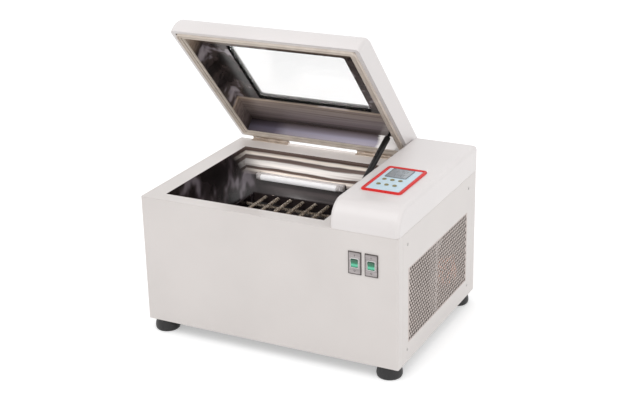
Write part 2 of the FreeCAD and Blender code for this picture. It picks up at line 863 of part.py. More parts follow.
def hood_block(label, x_ends, y_ends, z_ends, curve, edge):
    """Block with the large curve in front and round edges along both sides."""
    body = new_body(label)
    sketch = new_sketch(body, "YZ_Plane", x_ends[0])
    draw_loop(sketch, [
        (y_ends[0], z_ends[0]),
        (y_ends[1], z_ends[0]),
        (y_ends[1], z_ends[1]),
        (f"{y_ends[0]} + {curve}", z_ends[1]),
        (y_ends[0], f"{z_ends[1]} - {curve}", curve),
    ])
    block = pad(body, sketch, f"({x_ends[1]}) - ({x_ends[0]})")
    doc.recompute()
    back = value(y_ends[1])
    bottom = value(z_ends[0])
    edges = []
    for index, line in enumerate(block.Shape.Edges, start=1):
        bounds = line.BoundBox
        flat = bounds.XLength < edge_tolerance()
        lowest = bounds.ZMax - bottom < edge_tolerance()
        rearmost = back - bounds.YMin < edge_tolerance()
        if flat and not lowest and not rearmost:
            edges.append(f"Edge{index}")
    rounding = body.newObject("PartDesign::Fillet", "Rounding")
    rounding.Base = (block, edges)
    bind(rounding, {"Radius": edge})
    return body


def edge_tolerance():
    """Length under which an edge counts as lying in a plane."""
    return value("sheet") / 1000


def hollow_hood(label, x_ends, y_ends, z_ends, floor):
    """Hood and the block that hollows it out, down to a floor level."""
    outer = hood_block(label, x_ends, y_ends, z_ends, "front_curve", "shell_edge")
    inner = hood_block(
        f"{label}_hollow",
        grown(x_ends, "-shell_wall"),
        grown(y_ends, "-shell_wall"),
        (floor, f"{z_ends[1]} - shell_wall"),
        "(front_curve - shell_wall)",
        "(shell_edge - shell_wall)",
    )
    return outer, inner


def make_control_housing():
    """Cover over the right end of the deck, cut out under the keypad."""
    x_ends = (HOUSING_LEFT, SIDE)
    y_ends = (f"-{REAR}", REAR)
    z_ends = ("deck_height", "closed_height")
    outer, inner = hollow_hood("housing", x_ends, y_ends, z_ends, "deck_height - overrun")
    window = box(
        grown(around("bezel_x", "bezel_width"), "-2 * bezel_band"),
        grown(around("bezel_y", "bezel_length"), "-2 * bezel_band"),
        ("closed_height - shell_wall - overrun", "closed_height + overrun"),
    )
    name_part("control_housing", cut(cut(outer, inner), window))


def make_control_panel():
    """Bezel, keypad plate and display on the cover, with the board under them."""
    outer_x = around("bezel_x", "bezel_width")
    outer_y = around("bezel_y", "bezel_length")
    inner_x = grown(outer_x, "-bezel_band")
    inner_y = grown(outer_y, "-bezel_band")
    inner_corner = "(bezel_corner / 2)"
    rise = ("closed_height", "closed_height + bezel_rise")
    frame = rounded_block("bezel_block", outer_x, outer_y, rise, "bezel_corner")
    hole = rounded_block("bezel_hole", inner_x, inner_y, grown(rise, "overrun"), inner_corner)
    name_part("control_bezel", cut(frame, hole))

    glass_x = around("(bezel_x + display_x)", "display_width")
    glass_y = around("(bezel_y + display_y)", "display_length")
    glass_z = ("closed_height", f"{KEYPAD_TOP} + display_rise")
    plate_z = ("closed_height", KEYPAD_TOP)
    plate = rounded_block("keypad_block", inner_x, inner_y, plate_z, inner_corner)
    recess = rounded_block("display_hole", glass_x, glass_y, grown(plate_z, "overrun"), "display_corner")
    key_holes = []
    for spot in key_places():
        key_holes.append(cylinder("z", spot, "key_radius + key_clearance", grown(plate_z, "overrun")))
    name_part("keypad_plate", cut(plate, recess, *key_holes))
    name_part("lcd_window", rounded_block("display", glass_x, glass_y, glass_z, "display_corner"))
    make_control_board()


def make_control_board():
    """Circuit board on four standoffs under the cover's top."""
    board_x = grown(around("bezel_x", "bezel_width"), "-board_margin / 2")
    board_y = grown(around("bezel_y", "bezel_length"), "-board_margin / 2")
    top = "(closed_height - shell_wall - board_drop)"
    standoffs = []
    for x_edge, x_step in zip(board_x, (1, -1)):
        for y_edge, y_step in zip(board_y, (1, -1)):
            spot = (
                f"{x_edge} + {x_step} * standoff_radius",
                f"{y_edge} + {y_step} * standoff_radius",
            )
            standoffs.append(cylinder("z", spot, "standoff_radius", (top, "closed_height - shell_wall")))
    board = box(board_x, board_y, (f"{top} - board", top))
    name_part("control_board", fuse(board, *standoffs))


def key_places():
    """Centres of the six keys: two rows of three."""
    spots = []
    for row in range(2):
        for column in (-1, 0, 1):
            spots.append((
                f"(bezel_x + key_x + {column} * key_pitch)",
                f"(bezel_y + key_row_y - {row} * key_row_pitch)",
            ))
    return spots


def make_keys():
    """Six domed keys that reach down to the board with their travel to spare."""
    foot = "(closed_height - shell_wall - board_drop + key_travel + fit)"
    crown = f"({KEYPAD_TOP} + key_rise)"
    for index, spot in enumerate(key_places(), start=1):
        key = turned(f"key_{index}", [
            ("0", foot),
            ("key_radius", foot),
            ("key_radius", f"{crown} - key_dome"),
            ("key_radius - key_dome", crown, "key_dome"),
            ("0", crown),
        ])
        bind(key, base_at(spot[0], spot[1], "0"))
        name_part(f"key_{index}", group(key))


def rocker_pivot_y():
    return f"(-{REAR} + rocker_pivot_depth)"


def make_switch_frames():
    """Two switch bodies: a face plate, a body behind the panel and a cavity."""
    frames = []
    for centre in switch_centres():
        face = f"-{REAR} - switch_plate"
        plate = box(
            around(centre, "switch_plate_width"),
            (face, f"-{REAR}"),
            around("switch_z", "switch_plate_height"),
        )
        body = box(
            around(centre, "switch_body_width"),
            (f"-{REAR}", f"-{REAR} + switch_body_depth"),
            around("switch_z", "switch_body_height"),
        )
        cavity = box(
            around(centre, "(rocker_width + 2 * rocker_clearance)"),
            (f"{face} - overrun", f"{rocker_pivot_y()} + rocker_radius + rocker_clearance"),
            around("switch_z", "(2 * rocker_radius + 2 * rocker_clearance)"),
        )
        pin_hole = cylinder(
            "x",
            (rocker_pivot_y(), "switch_z"),
            "rocker_pin_radius + shaft_fit",
            around(centre, "(rocker_width + 2 * rocker_clearance + 2 * rocker_pin_reach + 2 * fit)"),
        )
        frames.append(cut(fuse(plate, body), fuse(cavity, pin_hole)))
    name_part("switch_frames", group(*frames))


def make_rockers():
    """Two rockers with round ends about their pins and a shallow V in front."""
    reach = "rocker_radius * cos(rocker_tilt) * sin(2 * rocker_tilt)"
    front = f"-({reach} + rocker_pin_radius + rocker_clearance)"
    rise = f"sqrt(rocker_radius^2 - ({front} - {reach} / 2)^2)"
    back_rise = "sqrt(rocker_radius^2 - rocker_back^2)"
    for label, centre in zip(("rocker_power", "rocker_light"), switch_centres()):
        body = new_body(label)
        sketch = new_sketch(body, "YZ_Plane", "-rocker_width / 2")
        draw_loop(sketch, [
            (front, "0"),
            (f"{front} - {reach} / 2", f"-{rise}"),
            ("rocker_back", f"-{back_rise}", "rocker_radius"),
            ("rocker_back", back_rise),
            (f"{front} - {reach} / 2", rise, "rocker_radius"),
        ])
        pad(body, sketch, "rocker_width")
        pin_sketch = new_sketch(body, "YZ_Plane", "-rocker_width / 2 - rocker_pin_reach")
        draw_circle(pin_sketch, "0", "0", "rocker_pin_radius")
        pad(body, pin_sketch, "rocker_width + 2 * rocker_pin_reach")
        name_part(label, group(body))
        at_pivot = FreeCAD.Vector(value(centre), value(rocker_pivot_y()), value("switch_z"))
        lean = FreeCAD.Rotation(FreeCAD.Vector(1, 0, 0), value("rocker_tilt"))
        parts[label].Placement = FreeCAD.Placement(at_pivot, lean)


def make_power_inlet():
    """Mains inlet in the rear panel: flange, body, open socket and three pins."""
    body = box(
        around("inlet_x", "inlet_body_width"),
        (f"{REAR} - inlet_body_depth", REAR),
        around("inlet_z", "inlet_body_height"),
    )
    flange = box(
        around("inlet_x", "inlet_flange_width"),
        (REAR, f"{REAR} + inlet_flange"),
        around("inlet_z", "inlet_flange_height"),
    )
    floor = f"({REAR} + inlet_flange - inlet_socket_depth)"
    socket = box(
        around("inlet_x", "inlet_socket_width"),
        (floor, f"{REAR} + inlet_flange + overrun"),
        around("inlet_z", "inlet_socket_height"),
    )
    pins = []
    for step, lift in ((-1, 0), (0, 1), (1, 0)):
        pins.append(box(
            around(f"(inlet_x + {step} * inlet_pin_pitch)", "inlet_pin_width"),
            (f"{floor} - fit", f"{floor} + inlet_pin_length"),
            around(f"(inlet_z + {lift} * inlet_pin_height / 2)", "inlet_pin_height"),
        ))
    name_part("power_inlet", fuse(cut(fuse(body, flange), socket), *pins))


def make_compressor():
    """Sealed compressor shell on a square foot plate."""
    base = f"({PAN_TOP} + compressor_foot)"
    top = f"({base} + compressor_height)"
    shell = turned("compressor_shell", [
        ("0", base),
        ("compressor_radius", base),
        ("compressor_radius", f"{top} - compressor_dome"),
        ("compressor_radius - compressor_dome", top, "compressor_dome"),
        ("0", top),
    ])
    bind(shell, base_at("compressor_x", "compressor_y", "0"))
    foot = box(
        around("compressor_x", "compressor_foot_width"),
        around("compressor_y", "compressor_foot_width"),
        (PAN_TOP, base),
    )
    name_part("compressor", fuse(foot, shell))


def coil_post():
    """Bracket beside the condenser that carries the copper coil from the base pan."""
    run = "(coil_pitch * coil_turns + 2 * coil_tube_radius)"
    top = "coil_z - coil_radius - coil_tube_radius - fit"
    return box(around("coil_x", run), around("coil_y", "coil_post_width"), (PAN_TOP, top))


def make_condenser():
    """Finned block with end plates down to the pan, tube rows and a fan shroud."""
    depth = around("condenser_x", "condenser_thickness")
    width = around("condenser_y", "condenser_width")
    height = around("condenser_z", "condenser_height")
    pieces = [box(depth, width, height)]
    plate_x = (depth[0], f"{depth[0]} + condenser_end_depth")
    plate_z = (PAN_TOP, height[1])
    pieces.append(box(plate_x, (f"{width[0]} - condenser_end_plate", width[0]), plate_z))
    pieces.append(box(plate_x, (width[1], f"{width[1]} + condenser_end_plate"), plate_z))
    tubes = int(value("condenser_tubes"))
    for row in range(tubes):
        level = f"({height[0]} + condenser_height * {2 * row + 1} / (2 * condenser_tubes))"
        run = grown(width, "condenser_end_plate + condenser_tube_bow")
        pieces.append(cylinder("y", ("condenser_x", level), "condenser_tube_radius", run))
    shroud_x = (f"{depth[0]} - shroud_depth", depth[0])
    shroud = box(shroud_x, width, height)
    mouth = cylinder(
        "x",
        ("condenser_y", "condenser_z"),
        "condenser_fan_radius + condenser_fan_clearance",
        (f"{shroud_x[0]} - overrun", shroud_x[1]),
    )
    pieces.append(cut(shroud, mouth))
    name_part("condenser_block", group(fuse(*pieces), coil_post()))


def biarc(start, start_way, end, end_way):
    """Two arcs that leave one point and reach another along given unit directions."""
    chord = end - start
    ways = start_way + end_way
    square = 2 * (1 - start_way.dot(end_way))
    along_ways = chord.dot(ways)
    reach = (math.sqrt(along_ways ** 2 + square * chord.dot(chord)) - along_ways) / square
    first_knee = start + start_way * reach
    last_knee = end - end_way * reach
    joint = (first_knee + last_knee) / 2
    arcs = []
    for here, knee, there in ((start, first_knee, joint), (joint, last_knee, end)):
        middle = (here + there) / 2
        arm = (knee - here).Length
        rise = (knee - middle).Length
        half = (there - here).Length / 2
        sagitta = half * (arm - half) / rise
        bulge = middle + (knee - middle).normalize() * sagitta
        arcs.append(Part.Arc(here, bulge, there))
    return arcs


def coil_path():
    """Centre line of the tube coil: quarter turns about the X axis, as arcs."""
    radius = value("coil_radius")
    pitch = value("coil_pitch")
    turns = int(value("coil_turns"))
    centre = FreeCAD.Vector(value("coil_x"), value("coil_y"), value("coil_z"))
    start_x = -pitch * turns / 2

    def spot(quarter):
        angle = math.radians(90 * quarter)
        across = FreeCAD.Vector(0, math.sin(angle), math.cos(angle)) * radius
        return centre + across + FreeCAD.Vector(start_x + pitch * quarter / 4, 0, 0)

    def way(quarter):
        angle = math.radians(90 * quarter)
        turn = FreeCAD.Vector(0, math.cos(angle), -math.sin(angle)) * radius
        return (turn + FreeCAD.Vector(pitch / (2 * math.pi), 0, 0)).normalize()

    curves = []
    for quarter in range(4 * turns):
        curves += biarc(spot(quarter), way(quarter), spot(quarter + 1), way(quarter + 1))
    stub = value("coil_tube_radius") * 2
    lead = Part.LineSegment(spot(0) - way(0) * stub, spot(0))
    trail = Part.LineSegment(spot(4 * turns), spot(4 * turns) + way(4 * turns) * stub)
    return [lead] + curves + [trail]


def report_self_gap(curves, radius, turn_length):
    """Print the least gap between stretches of the coil that lie a turn apart."""
    samples = []
    travelled = 0
    for curve in curves:
        length = curve.length()
        for step in range(8):
            share = curve.FirstParameter + (curve.LastParameter - curve.FirstParameter) * step / 8
            samples.append((travelled + length * step / 8, curve.value(share)))
        travelled += length
    least = min(
        (there - here).Length
        for index, (place, here) in enumerate(samples)
        for further, there in samples[index + 1:]
        if further - place > turn_length / 2
    )
    print(f"coil: least gap to itself {least - 2 * radius:.2f} mm")


def make_capillary_coil():
    """Coil of copper tube behind the rear half of the vent, in one unbroken sweep."""
    radius = value("coil_tube_radius")
    curves = coil_path()
    report_self_gap(curves, radius, 2 * math.pi * value("coil_radius"))
    path = Part.Wire([curve.toShape() for curve in curves])
    start = curves[0].value(curves[0].FirstParameter)
    heading = curves[0].value(curves[0].LastParameter) - start
    ring = Part.Wire(Part.makeCircle(radius, start, heading))
    coil = doc.addObject("Part::Feature", "CapillaryCoil")
    coil.Shape = path.makePipeShell([ring], True, False)
    name_part("capillary_coil", coil)


def make_fan_motors():
    """Condenser fan motor on its bracket bars, and the chamber fan motor."""
    face = "(condenser_x - condenser_thickness / 2 - shroud_depth)"
    hub = ("condenser_y", "condenser_z")
    motor_x = (f"{face} - fan_bracket - fan_motor_length", face)
    bars = [
        box(
            (f"{face} - fan_bracket", face),
            around("condenser_y", "condenser_width"),
            around(f"(condenser_z + {side} * fan_motor_radius / 2)", "fan_bracket_width"),
        )
        for side in (-1, 1)
    ]
    motor = fuse(cylinder("x", hub, "fan_motor_radius", motor_x), *bars)
    bore = cylinder(
        "x", hub, "fan_shaft_radius + shaft_fit", (f"{face} - fan_shaft_depth - fit", f"{face} + overrun"),
    )
    wall = f"({TUB_RIGHT} + foam + sheet)"
    axis = ("duct_y", "duct_z")
    motor_end = f"{wall} + chamber_fan_motor_length"
    chamber_motor = cylinder("x", axis, "chamber_fan_motor_radius", (wall, motor_end))
    chamber_bore = cylinder(
        "x", axis, "fan_shaft_radius + shaft_fit", (f"{wall} - overrun", f"{wall} + fan_shaft_depth + fit"),
    )
    name_part("fan_motors", group(cut(motor, bore), cut(chamber_motor, chamber_bore)))


def make_fan(label, radius, hub_x, shaft_reach, way):
    """Fan built about the vertical axis: hub, pitched blades and shaft, then turned over."""
    body = new_body(label)
    hub_radius = f"({radius} * fan_hub_share)"
    hub_sketch = new_sketch(body, "XY_Plane")
    draw_circle(hub_sketch, "0", "0", hub_radius)
    pad(body, hub_sketch, "fan_width")
    shaft_sketch = new_sketch(body, "XY_Plane")
    draw_circle(shaft_sketch, "0", "0", "fan_shaft_radius")
    pad(body, shaft_sketch, shaft_reach, reverse=True)
    blade_sketch = new_sketch(body, "YZ_Plane", f"{hub_radius} / 2")
    half_run = f"({radius} * fan_blade_pitch_share / 2)"
    draw_loop(blade_sketch, [
        (f"-{half_run}", "fan_blade"),
        (f"-{half_run} + fan_blade", "fan_blade / 2"),
        (half_run, "fan_width - fan_blade"),
        (f"{half_run} - fan_blade", "fan_width - fan_blade / 2"),
    ])
    blade = pad(body, blade_sketch, f"{radius} - {hub_radius} / 2 - fan_blade")
    blades = body.newObject("PartDesign::PolarPattern", "Blades")
    blades.Originals = [blade]
    turn_axis = next(item for item in body.Origin.OriginFeatures if item.Role == "Z_Axis")
    blades.Axis = (turn_axis, [""])
    blades.Angle = 360
    bind(blades, {"Occurrences": "fan_blades"})
    body.Tip = blades
    name_part(label, group(body))
    spot, height = hub_x
    over = FreeCAD.Rotation(FreeCAD.Vector(0, 1, 0), 90 * way)
    base = FreeCAD.Vector(value(spot), value(height[0]), value(height[1]))
    parts[label].Placement = FreeCAD.Placement(base, over)


def make_fans():
    face = "(condenser_x - condenser_thickness / 2 - shroud_depth)"
    spot = (f"{face} + fan_gap - fan_blade", ("condenser_y", "condenser_z"))
    make_fan("condenser_fan", "condenser_fan_radius", spot, "fan_shaft_depth + fan_gap - fan_blade", 1)
    inner_wall = f"({TUB_RIGHT} - tub_wall)"
    reach = "chamber_fan_gap + tub_wall + foam + sheet + fan_shaft_depth"
    spot = (f"{inner_wall} - chamber_fan_gap", ("duct_y", "duct_z"))
    make_fan("circulation_fan", "chamber_fan_radius", spot, reach, -1)


def make_duct():
    """Cover over the chamber fan and heater on the right wall, open at mouth and ends."""
    wall = f"({TUB_RIGHT} - tub_wall)"
    x_ends = (f"{wall} - duct_depth", wall)
    y_ends = around("duct_y", "duct_width")
    z_ends = around("duct_z", "duct_height")
    cover = box(x_ends, y_ends, z_ends)
    hollow = box(
        (f"{x_ends[0]} + tub_wall", f"{wall} + overrun"),
        grown(y_ends, "overrun"),
        grown(z_ends, "-tub_wall"),
    )
    mouth = cylinder("x", ("duct_y", "duct_z"), "duct_mouth_radius", grown(x_ends, "overrun"))
    name_part("duct_cover", cut(cover, fuse(hollow, mouth)))

    ring = doc.addObject("Part::Torus", "HeaterRing")
    bind(ring, {"Radius1": "heater_ring_radius", "Radius2": "heater_tube_radius"})
    ring.Placement = FreeCAD.Placement(FreeCAD.Vector(), AXIS_TURNS["x"])
    bind(ring, base_at(f"{wall} - heater_tube_radius - fit", "duct_y", "duct_z"))
    name_part("heater_element", group(ring))


def make_lamp():
    """Tube lamp on the rear wall, between two holders on a batten."""
    wall = f"({TUB_REAR} - tub_wall)"
    axis_y = f"({wall} - lamp_stand_off)"
    ends = around("lamp_x", "lamp_length")
    height = around("lamp_z", "lamp_holder_height")
    batten = box(ends, (f"{wall} - lamp_batten", wall), around("lamp_z", "(2 * lamp_radius)"))
    front = f"{axis_y} - lamp_radius - lamp_holder / 4"
    left = box((ends[0], f"{ends[0]} + lamp_holder"), (front, wall), height)
    right = box((f"{ends[1]} - lamp_holder", ends[1]), (front, wall), height)
    name_part("lamp_holders", fuse(batten, left, right))
    run = (f"{ends[0]} + lamp_holder", f"{ends[1]} - lamp_holder")
    name_part("lamp_tube", group(cylinder("x", (axis_y, "lamp_z"), "lamp_radius", run)))


def pulley(label, radius, shaft_radius, spot):
    """Flanged pulley with its bore, as one turned piece."""
    low = "pulley_z"
    high = "(pulley_z + pulley_face + 2 * pulley_flange)"
    rim = f"({radius} + pulley_lip)"
    wheel = turned(label, [
        (shaft_radius, low),
        (rim, low),
        (rim, f"{low} + pulley_flange"),
        (radius, f"{low} + pulley_flange"),
        (radius, f"{high} - pulley_flange"),
        (rim, f"{high} - pulley_flange"),
        (rim, high),
        (shaft_radius, high),
    ])
    return bind(wheel, base_at(spot[0], spot[1], "0"))


def make_drive_shaft():
    """Main shaft with its crank arm and eccentric pin, and the pulley on it."""
    axis = ("chamber_x", "chamber_y")
    crank_pin = ("(chamber_x + orbit_radius)", "chamber_y")
    shaft = fuse(
        cylinder("z", axis, "drive_shaft_radius", (f"{PAN_TOP} + fit", ARM_BOTTOM)),
        cylinder("z", axis, "drive_arm_radius", (ARM_BOTTOM, ARM_TOP)),
        cylinder("z", crank_pin, "drive_pin_radius", (ARM_TOP, f"{TRAY_BOTTOM} - fit")),
    )
    wheel = pulley("driven_pulley", "pulley_radius", "drive_shaft_radius", axis)
    name_part("drive_crank", group(shaft, wheel))


def make_motor():
    """Drive motor on the base pan, with its pulley and shaft above."""
    axis = ("(chamber_x + motor_distance)", "chamber_y")
    top = "(pulley_z - pulley_flange)"
    shoulder = f"({top} - motor_boss)"
    body = fuse(
        cylinder("z", axis, "motor_radius", (PAN_TOP, shoulder)),
        cylinder("z", axis, "motor_boss_radius", (shoulder, top)),
    )
    bore_z = (f"{top} - motor_shaft_depth - fit", f"{top} + overrun")
    bore = cylinder("z", axis, "motor_shaft_radius + shaft_fit", bore_z)
    name_part("shaker_motor", cut(body, bore))
    shaft = cylinder(
        "z", axis, "motor_shaft_radius",
        (f"{top} - motor_shaft_depth", "pulley_z + pulley_face + 2 * pulley_flange"),
    )
    wheel = pulley("small_pulley", "motor_pulley_radius", "motor_shaft_radius", axis)
    name_part("motor_pulley", fuse(shaft, wheel))


def belt_loop(offset):
    """Closed wire round both pulleys at an offset from their running faces."""
    big = value("pulley_radius") + offset
    small = value("motor_pulley_radius") + offset
    distance = value("motor_distance")
    lean = math.acos((big - small) / distance)
    level = value("pulley_z + pulley_flange + fit")
    main = FreeCAD.Vector(value("chamber_x"), value("chamber_y"), level)
    drive = main + FreeCAD.Vector(distance, 0, 0)

    def rim(centre, radius, angle):
        return centre + FreeCAD.Vector(math.cos(angle), math.sin(angle), 0) * radius

    upper_main = rim(main, big, lean)
    lower_main = rim(main, big, -lean)
    upper_drive = rim(drive, small, lean)
    lower_drive = rim(drive, small, -lean)
    return Part.Wire([
        Part.LineSegment(upper_drive, upper_main).toShape(),
        Part.Arc(upper_main, rim(main, big, math.pi), lower_main).toShape(),
        Part.LineSegment(lower_main, lower_drive).toShape(),
        Part.Arc(lower_drive, rim(drive, small, 0), upper_drive).toShape(),
    ])


def make_belt():
    """Flat belt that runs on both pulleys with a small clearance."""
    clearance = value("fit")
    outer = Part.Face(belt_loop(clearance + value("belt")))
    band = outer.cut(Part.Face(belt_loop(clearance))).Faces[0]
    height = value("pulley_face - 2 * fit")
    belt = doc.addObject("Part::Feature", "DriveBelt")
    belt.Shape = band.extrude(FreeCAD.Vector(0, 0, height))
    name_part("drive_belt", belt)


def idler_places():
    """Three idler axes: front left, front right and rear middle."""
    return [
        ("(chamber_x - idler_pitch_x)", "(chamber_y - idler_pitch_y)"),
        ("(chamber_x + idler_pitch_x)", "(chamber_y - idler_pitch_y)"),
        ("chamber_x", "(chamber_y + idler_pitch_y)"),
    ]


def make_bearings():
    """Column under the tub, upper bearing on its floor and three idler blocks."""
    axis = ("chamber_x", "chamber_y")
    bore = "drive_shaft_radius + shaft_fit"
    column_z = (PAN_TOP, f"{PAN_TOP} + drive_column_height")
    upper_z = (TUB_FLOOR, f"{TUB_FLOOR} + bearing_height")
    column = cut(
        cylinder("z", axis, "drive_column_radius", column_z),
        cylinder("z", axis, bore, (f"{column_z[0]} - overrun", f"{column_z[1]} + overrun")),
    )
    upper = cut(
        cylinder("z", axis, "drive_bearing_radius", upper_z),
        cylinder("z", axis, bore, (f"{upper_z[0]} - overrun", f"{upper_z[1]} + overrun")),
    )
    blocks = [column, upper]
    blind_z = (f"{upper_z[0]} + tub_wall", f"{upper_z[1]} + overrun")
    for spot in idler_places():
        blocks.append(cut(
            cylinder("z", spot, "idler_block_radius", upper_z),
            cylinder("z", spot, "idler_shaft_radius + shaft_fit", blind_z),
        ))
    name_part("bearing_housings", group(*blocks))


def make_idlers():
    """Idler cranks with the same throw as the main crank."""
    for index, spot in enumerate(idler_places(), start=1):
        offset_pin = (f"({spot[0]} + orbit_radius)", spot[1])
        crank = fuse(
            cylinder("z", spot, "idler_shaft_radius", (f"{TUB_FLOOR} + tub_wall + fit", ARM_BOTTOM)),
            cylinder("z", spot, "idler_arm_radius", (ARM_BOTTOM, ARM_TOP)),
            cylinder("z", offset_pin, "idler_pin_radius", (ARM_TOP, f"{TRAY_BOTTOM} - fit")),
        )
        name_part(f"idler_crank_{index}", crank)


def platform_centre():
    return "(chamber_x + orbit_radius)", "chamber_y"


def make_platform():
    """Carrier plate on the crank pins, and the tray on top of it."""
    centre_x, centre_y = platform_centre()
    plate_z = (CARRIER_BOTTOM, TRAY_BOTTOM)
    plate = box(around(centre_x, "carrier_width"), around(centre_y, "carrier_length"), plate_z)
    holes = [cylinder("z", (centre_x, centre_y), "drive_pin_radius + shaft_fit", grown(plate_z, "overrun"))]
    for spot in idler_places():
        hole_at = (f"({spot[0]} + orbit_radius)", spot[1])
        holes.append(cylinder("z", hole_at, "idler_pin_radius + shaft_fit", grown(plate_z, "overrun")))
    name_part("platform_carrier", cut(plate, *holes))

    tray_x = around(centre_x, "platform_width")
    tray_y = around(centre_y, "platform_length")
    tray = box(tray_x, tray_y, (TRAY_BOTTOM, f"{TRAY_BOTTOM} + platform_lip"))
    hollow = box(
        grown(tray_x, "-sheet"),
        grown(tray_y, "-sheet"),
        (f"{TRAY_BOTTOM} + sheet", f"{TRAY_BOTTOM} + platform_lip + overrun"),
    )
    name_part("platform_tray", cut(tray, hollow))


def rack_spans():
    """Outer spans of the rack on X and Y, inside the tray's lips."""
    centre_x, centre_y = platform_centre()
    margin = "-(sheet + rack_inset)"
    span_x = grown(around(centre_x, "platform_width"), margin)
    span_y = grown(around(centre_y, "platform_length"), margin)
    return span_x, span_y


def even_places(ends, count_name):
    """Places that divide a span into equal gaps, one more than their count."""
    start = f"({ends[0]})"
    gap = f"(({ends[1]}) - {start}) / ({count_name} + 1)"
    count = int(value(count_name))
    return [f"({start} + {index} * {gap})" for index in range(1, count + 1)]


def make_rack():
    """Frame of flat rails on four posts, with two crossing layers of springs."""
    span_x, span_y = rack_spans()
    floor = f"({TRAY_BOTTOM} + sheet)"
    rail_bottom = f"({floor} + rack_post_height)"
    rail_z = (rail_bottom, f"{rail_bottom} + rack_rail_height")
    pieces = [ring_of(span_x, span_y, rail_z, "rack_rail")]
    for x_edges in ((span_x[0], f"{span_x[0]} + rack_post"), (f"{span_x[1]} - rack_post", span_x[1])):
        for y_edges in ((span_y[0], f"{span_y[0]} + rack_post"), (f"{span_y[1]} - rack_post", span_y[1])):
            pieces.append(box(x_edges, y_edges, (floor, rail_bottom)))
    name_part("rack_frame", fuse(*pieces))

    inner_x = grown(span_x, "-rack_rail")
    inner_y = grown(span_y, "-rack_rail")
    low = f"({rail_bottom} + rack_low_spring)"
    high = f"({low} + 2 * rack_spring_radius + rack_spring_gap)"
    springs = []
    for place in even_places(inner_y, "rack_springs_across"):
        springs.append(cylinder("x", (place, low), "rack_spring_radius", inner_x))
    for place in even_places(inner_x, "rack_springs_along"):
        springs.append(cylinder("y", (place, high), "rack_spring_radius", inner_y))
    name_part("rack_springs", group(*springs))


def window_span(margin):
    """Window opening of the lid, grown by a margin."""
    span_x = grown(around("window_x", "window_width"), margin)
    span_y = grown(around("window_y", "window_length"), margin)
    return span_x, span_y


def make_lid_shell():
    """Painted lid: hood with a rim turned in at the bottom and the window opening."""
    x_ends = (LID_LEFT, LID_RIGHT)
    y_ends = (LID_FRONT, LID_REAR)
    z_ends = (LID_BOTTOM, "closed_height")
    outer, inner = hollow_hood("lid", x_ends, y_ends, z_ends, f"({LID_BOTTOM} + shell_wall)")
    mouth = box(
        grown(x_ends, "-lid_rim"),
        grown(y_ends, "-lid_rim"),
        (f"{LID_BOTTOM} - overrun", f"{LID_BOTTOM} + 2 * overrun"),
    )
    span_x, span_y = window_span("0")
    window = rounded_block(
        "lid_window", span_x, span_y,
        ("closed_height - shell_wall - overrun", "closed_height + overrun"), "window_corner",
    )
    name_part("lid_shell", cut(cut(outer, inner), mouth, window))


def make_lid_liner():
    """Polished pan inside the lid, with a flange that lies on the lid's rim."""
    x_ends = grown((LID_LEFT, LID_RIGHT), "-liner_rim")
    y_ends = grown((LID_FRONT, LID_REAR), "-liner_rim")
    seat = f"({LID_BOTTOM} + shell_wall)"
    flange_x = grown((LID_LEFT, LID_RIGHT), "-(lid_rim - seal_width / 2)")
    flange_y = grown((LID_FRONT, LID_REAR), "-(lid_rim - seal_width / 2)")
    flange = box(flange_x, flange_y, (seat, f"{seat} + liner_wall"))
    pan = box(grown(x_ends, "liner_wall"), grown(y_ends, "liner_wall"), (seat, LINER_TOP))
    recess = box(x_ends, y_ends, (f"{seat} - overrun", f"{LINER_TOP} - liner_wall"))
    span_x, span_y = window_span("0")
    window_z = grown((LINER_TOP, LINER_TOP), "overrun")
    window = rounded_block("liner_window", span_x, span_y, window_z, "window_corner")
    name_part("lid_liner", cut(cut(fuse(flange, pan), recess), window))


def make_window():
    """Two panes with a gasket between them that shows as a lip in the opening."""
    pane_x, pane_y = window_span("pane_lap")
    inner_z = (LINER_TOP, f"{LINER_TOP} + pane")
    outer_z = ("closed_height - shell_wall - pane", "closed_height - shell_wall")
    panes = group(box(pane_x, pane_y, inner_z), box(pane_x, pane_y, outer_z))
    name_part("window_panes", panes)
    gasket_z = (inner_z[1], outer_z[0])
    hole_x, hole_y = window_span("-gasket_lip")
    hole = rounded_block("gasket_hole", hole_x, hole_y, grown(gasket_z, "overrun"), "window_corner")
    name_part("window_gasket", cut(box(pane_x, pane_y, gasket_z), hole))


def make_lid_seal():
    """Two rubber bands inside the lid's rim: the outer one reaches the deck."""
    edge_x = grown((LID_LEFT, LID_RIGHT), "-lid_rim")
    edge_y = grown((LID_FRONT, LID_REAR), "-lid_rim")
    seat = f"({LID_BOTTOM} + shell_wall)"
    outer = ring_of(edge_x, edge_y, ("deck_height + fit", seat), "seal_width")
    liner_x = grown((LID_LEFT, LID_RIGHT), "-(liner_rim - inner_seal_width)")
    liner_y = grown((LID_FRONT, LID_REAR), "-(liner_rim - inner_seal_width)")
    inner = ring_of(liner_x, liner_y, (f"{seat} - inner_seal_height", seat), "inner_seal_width")
    name_part("lid_seal", group(outer, inner))


def hinge_starts():
    return [f"({centre} - hinge_length / 2)" for centre in ("hinge_left_x", "hinge_right_x")]


def knuckle_span(start, index):
    """One knuckle's stretch of the pin, short of its neighbours by the fit."""
    low = f"{start} + hinge_length * {index} / hinge_knuckles"
    high = f"{start} + hinge_length * {index + 1} / hinge_knuckles - fit"
    return low, high


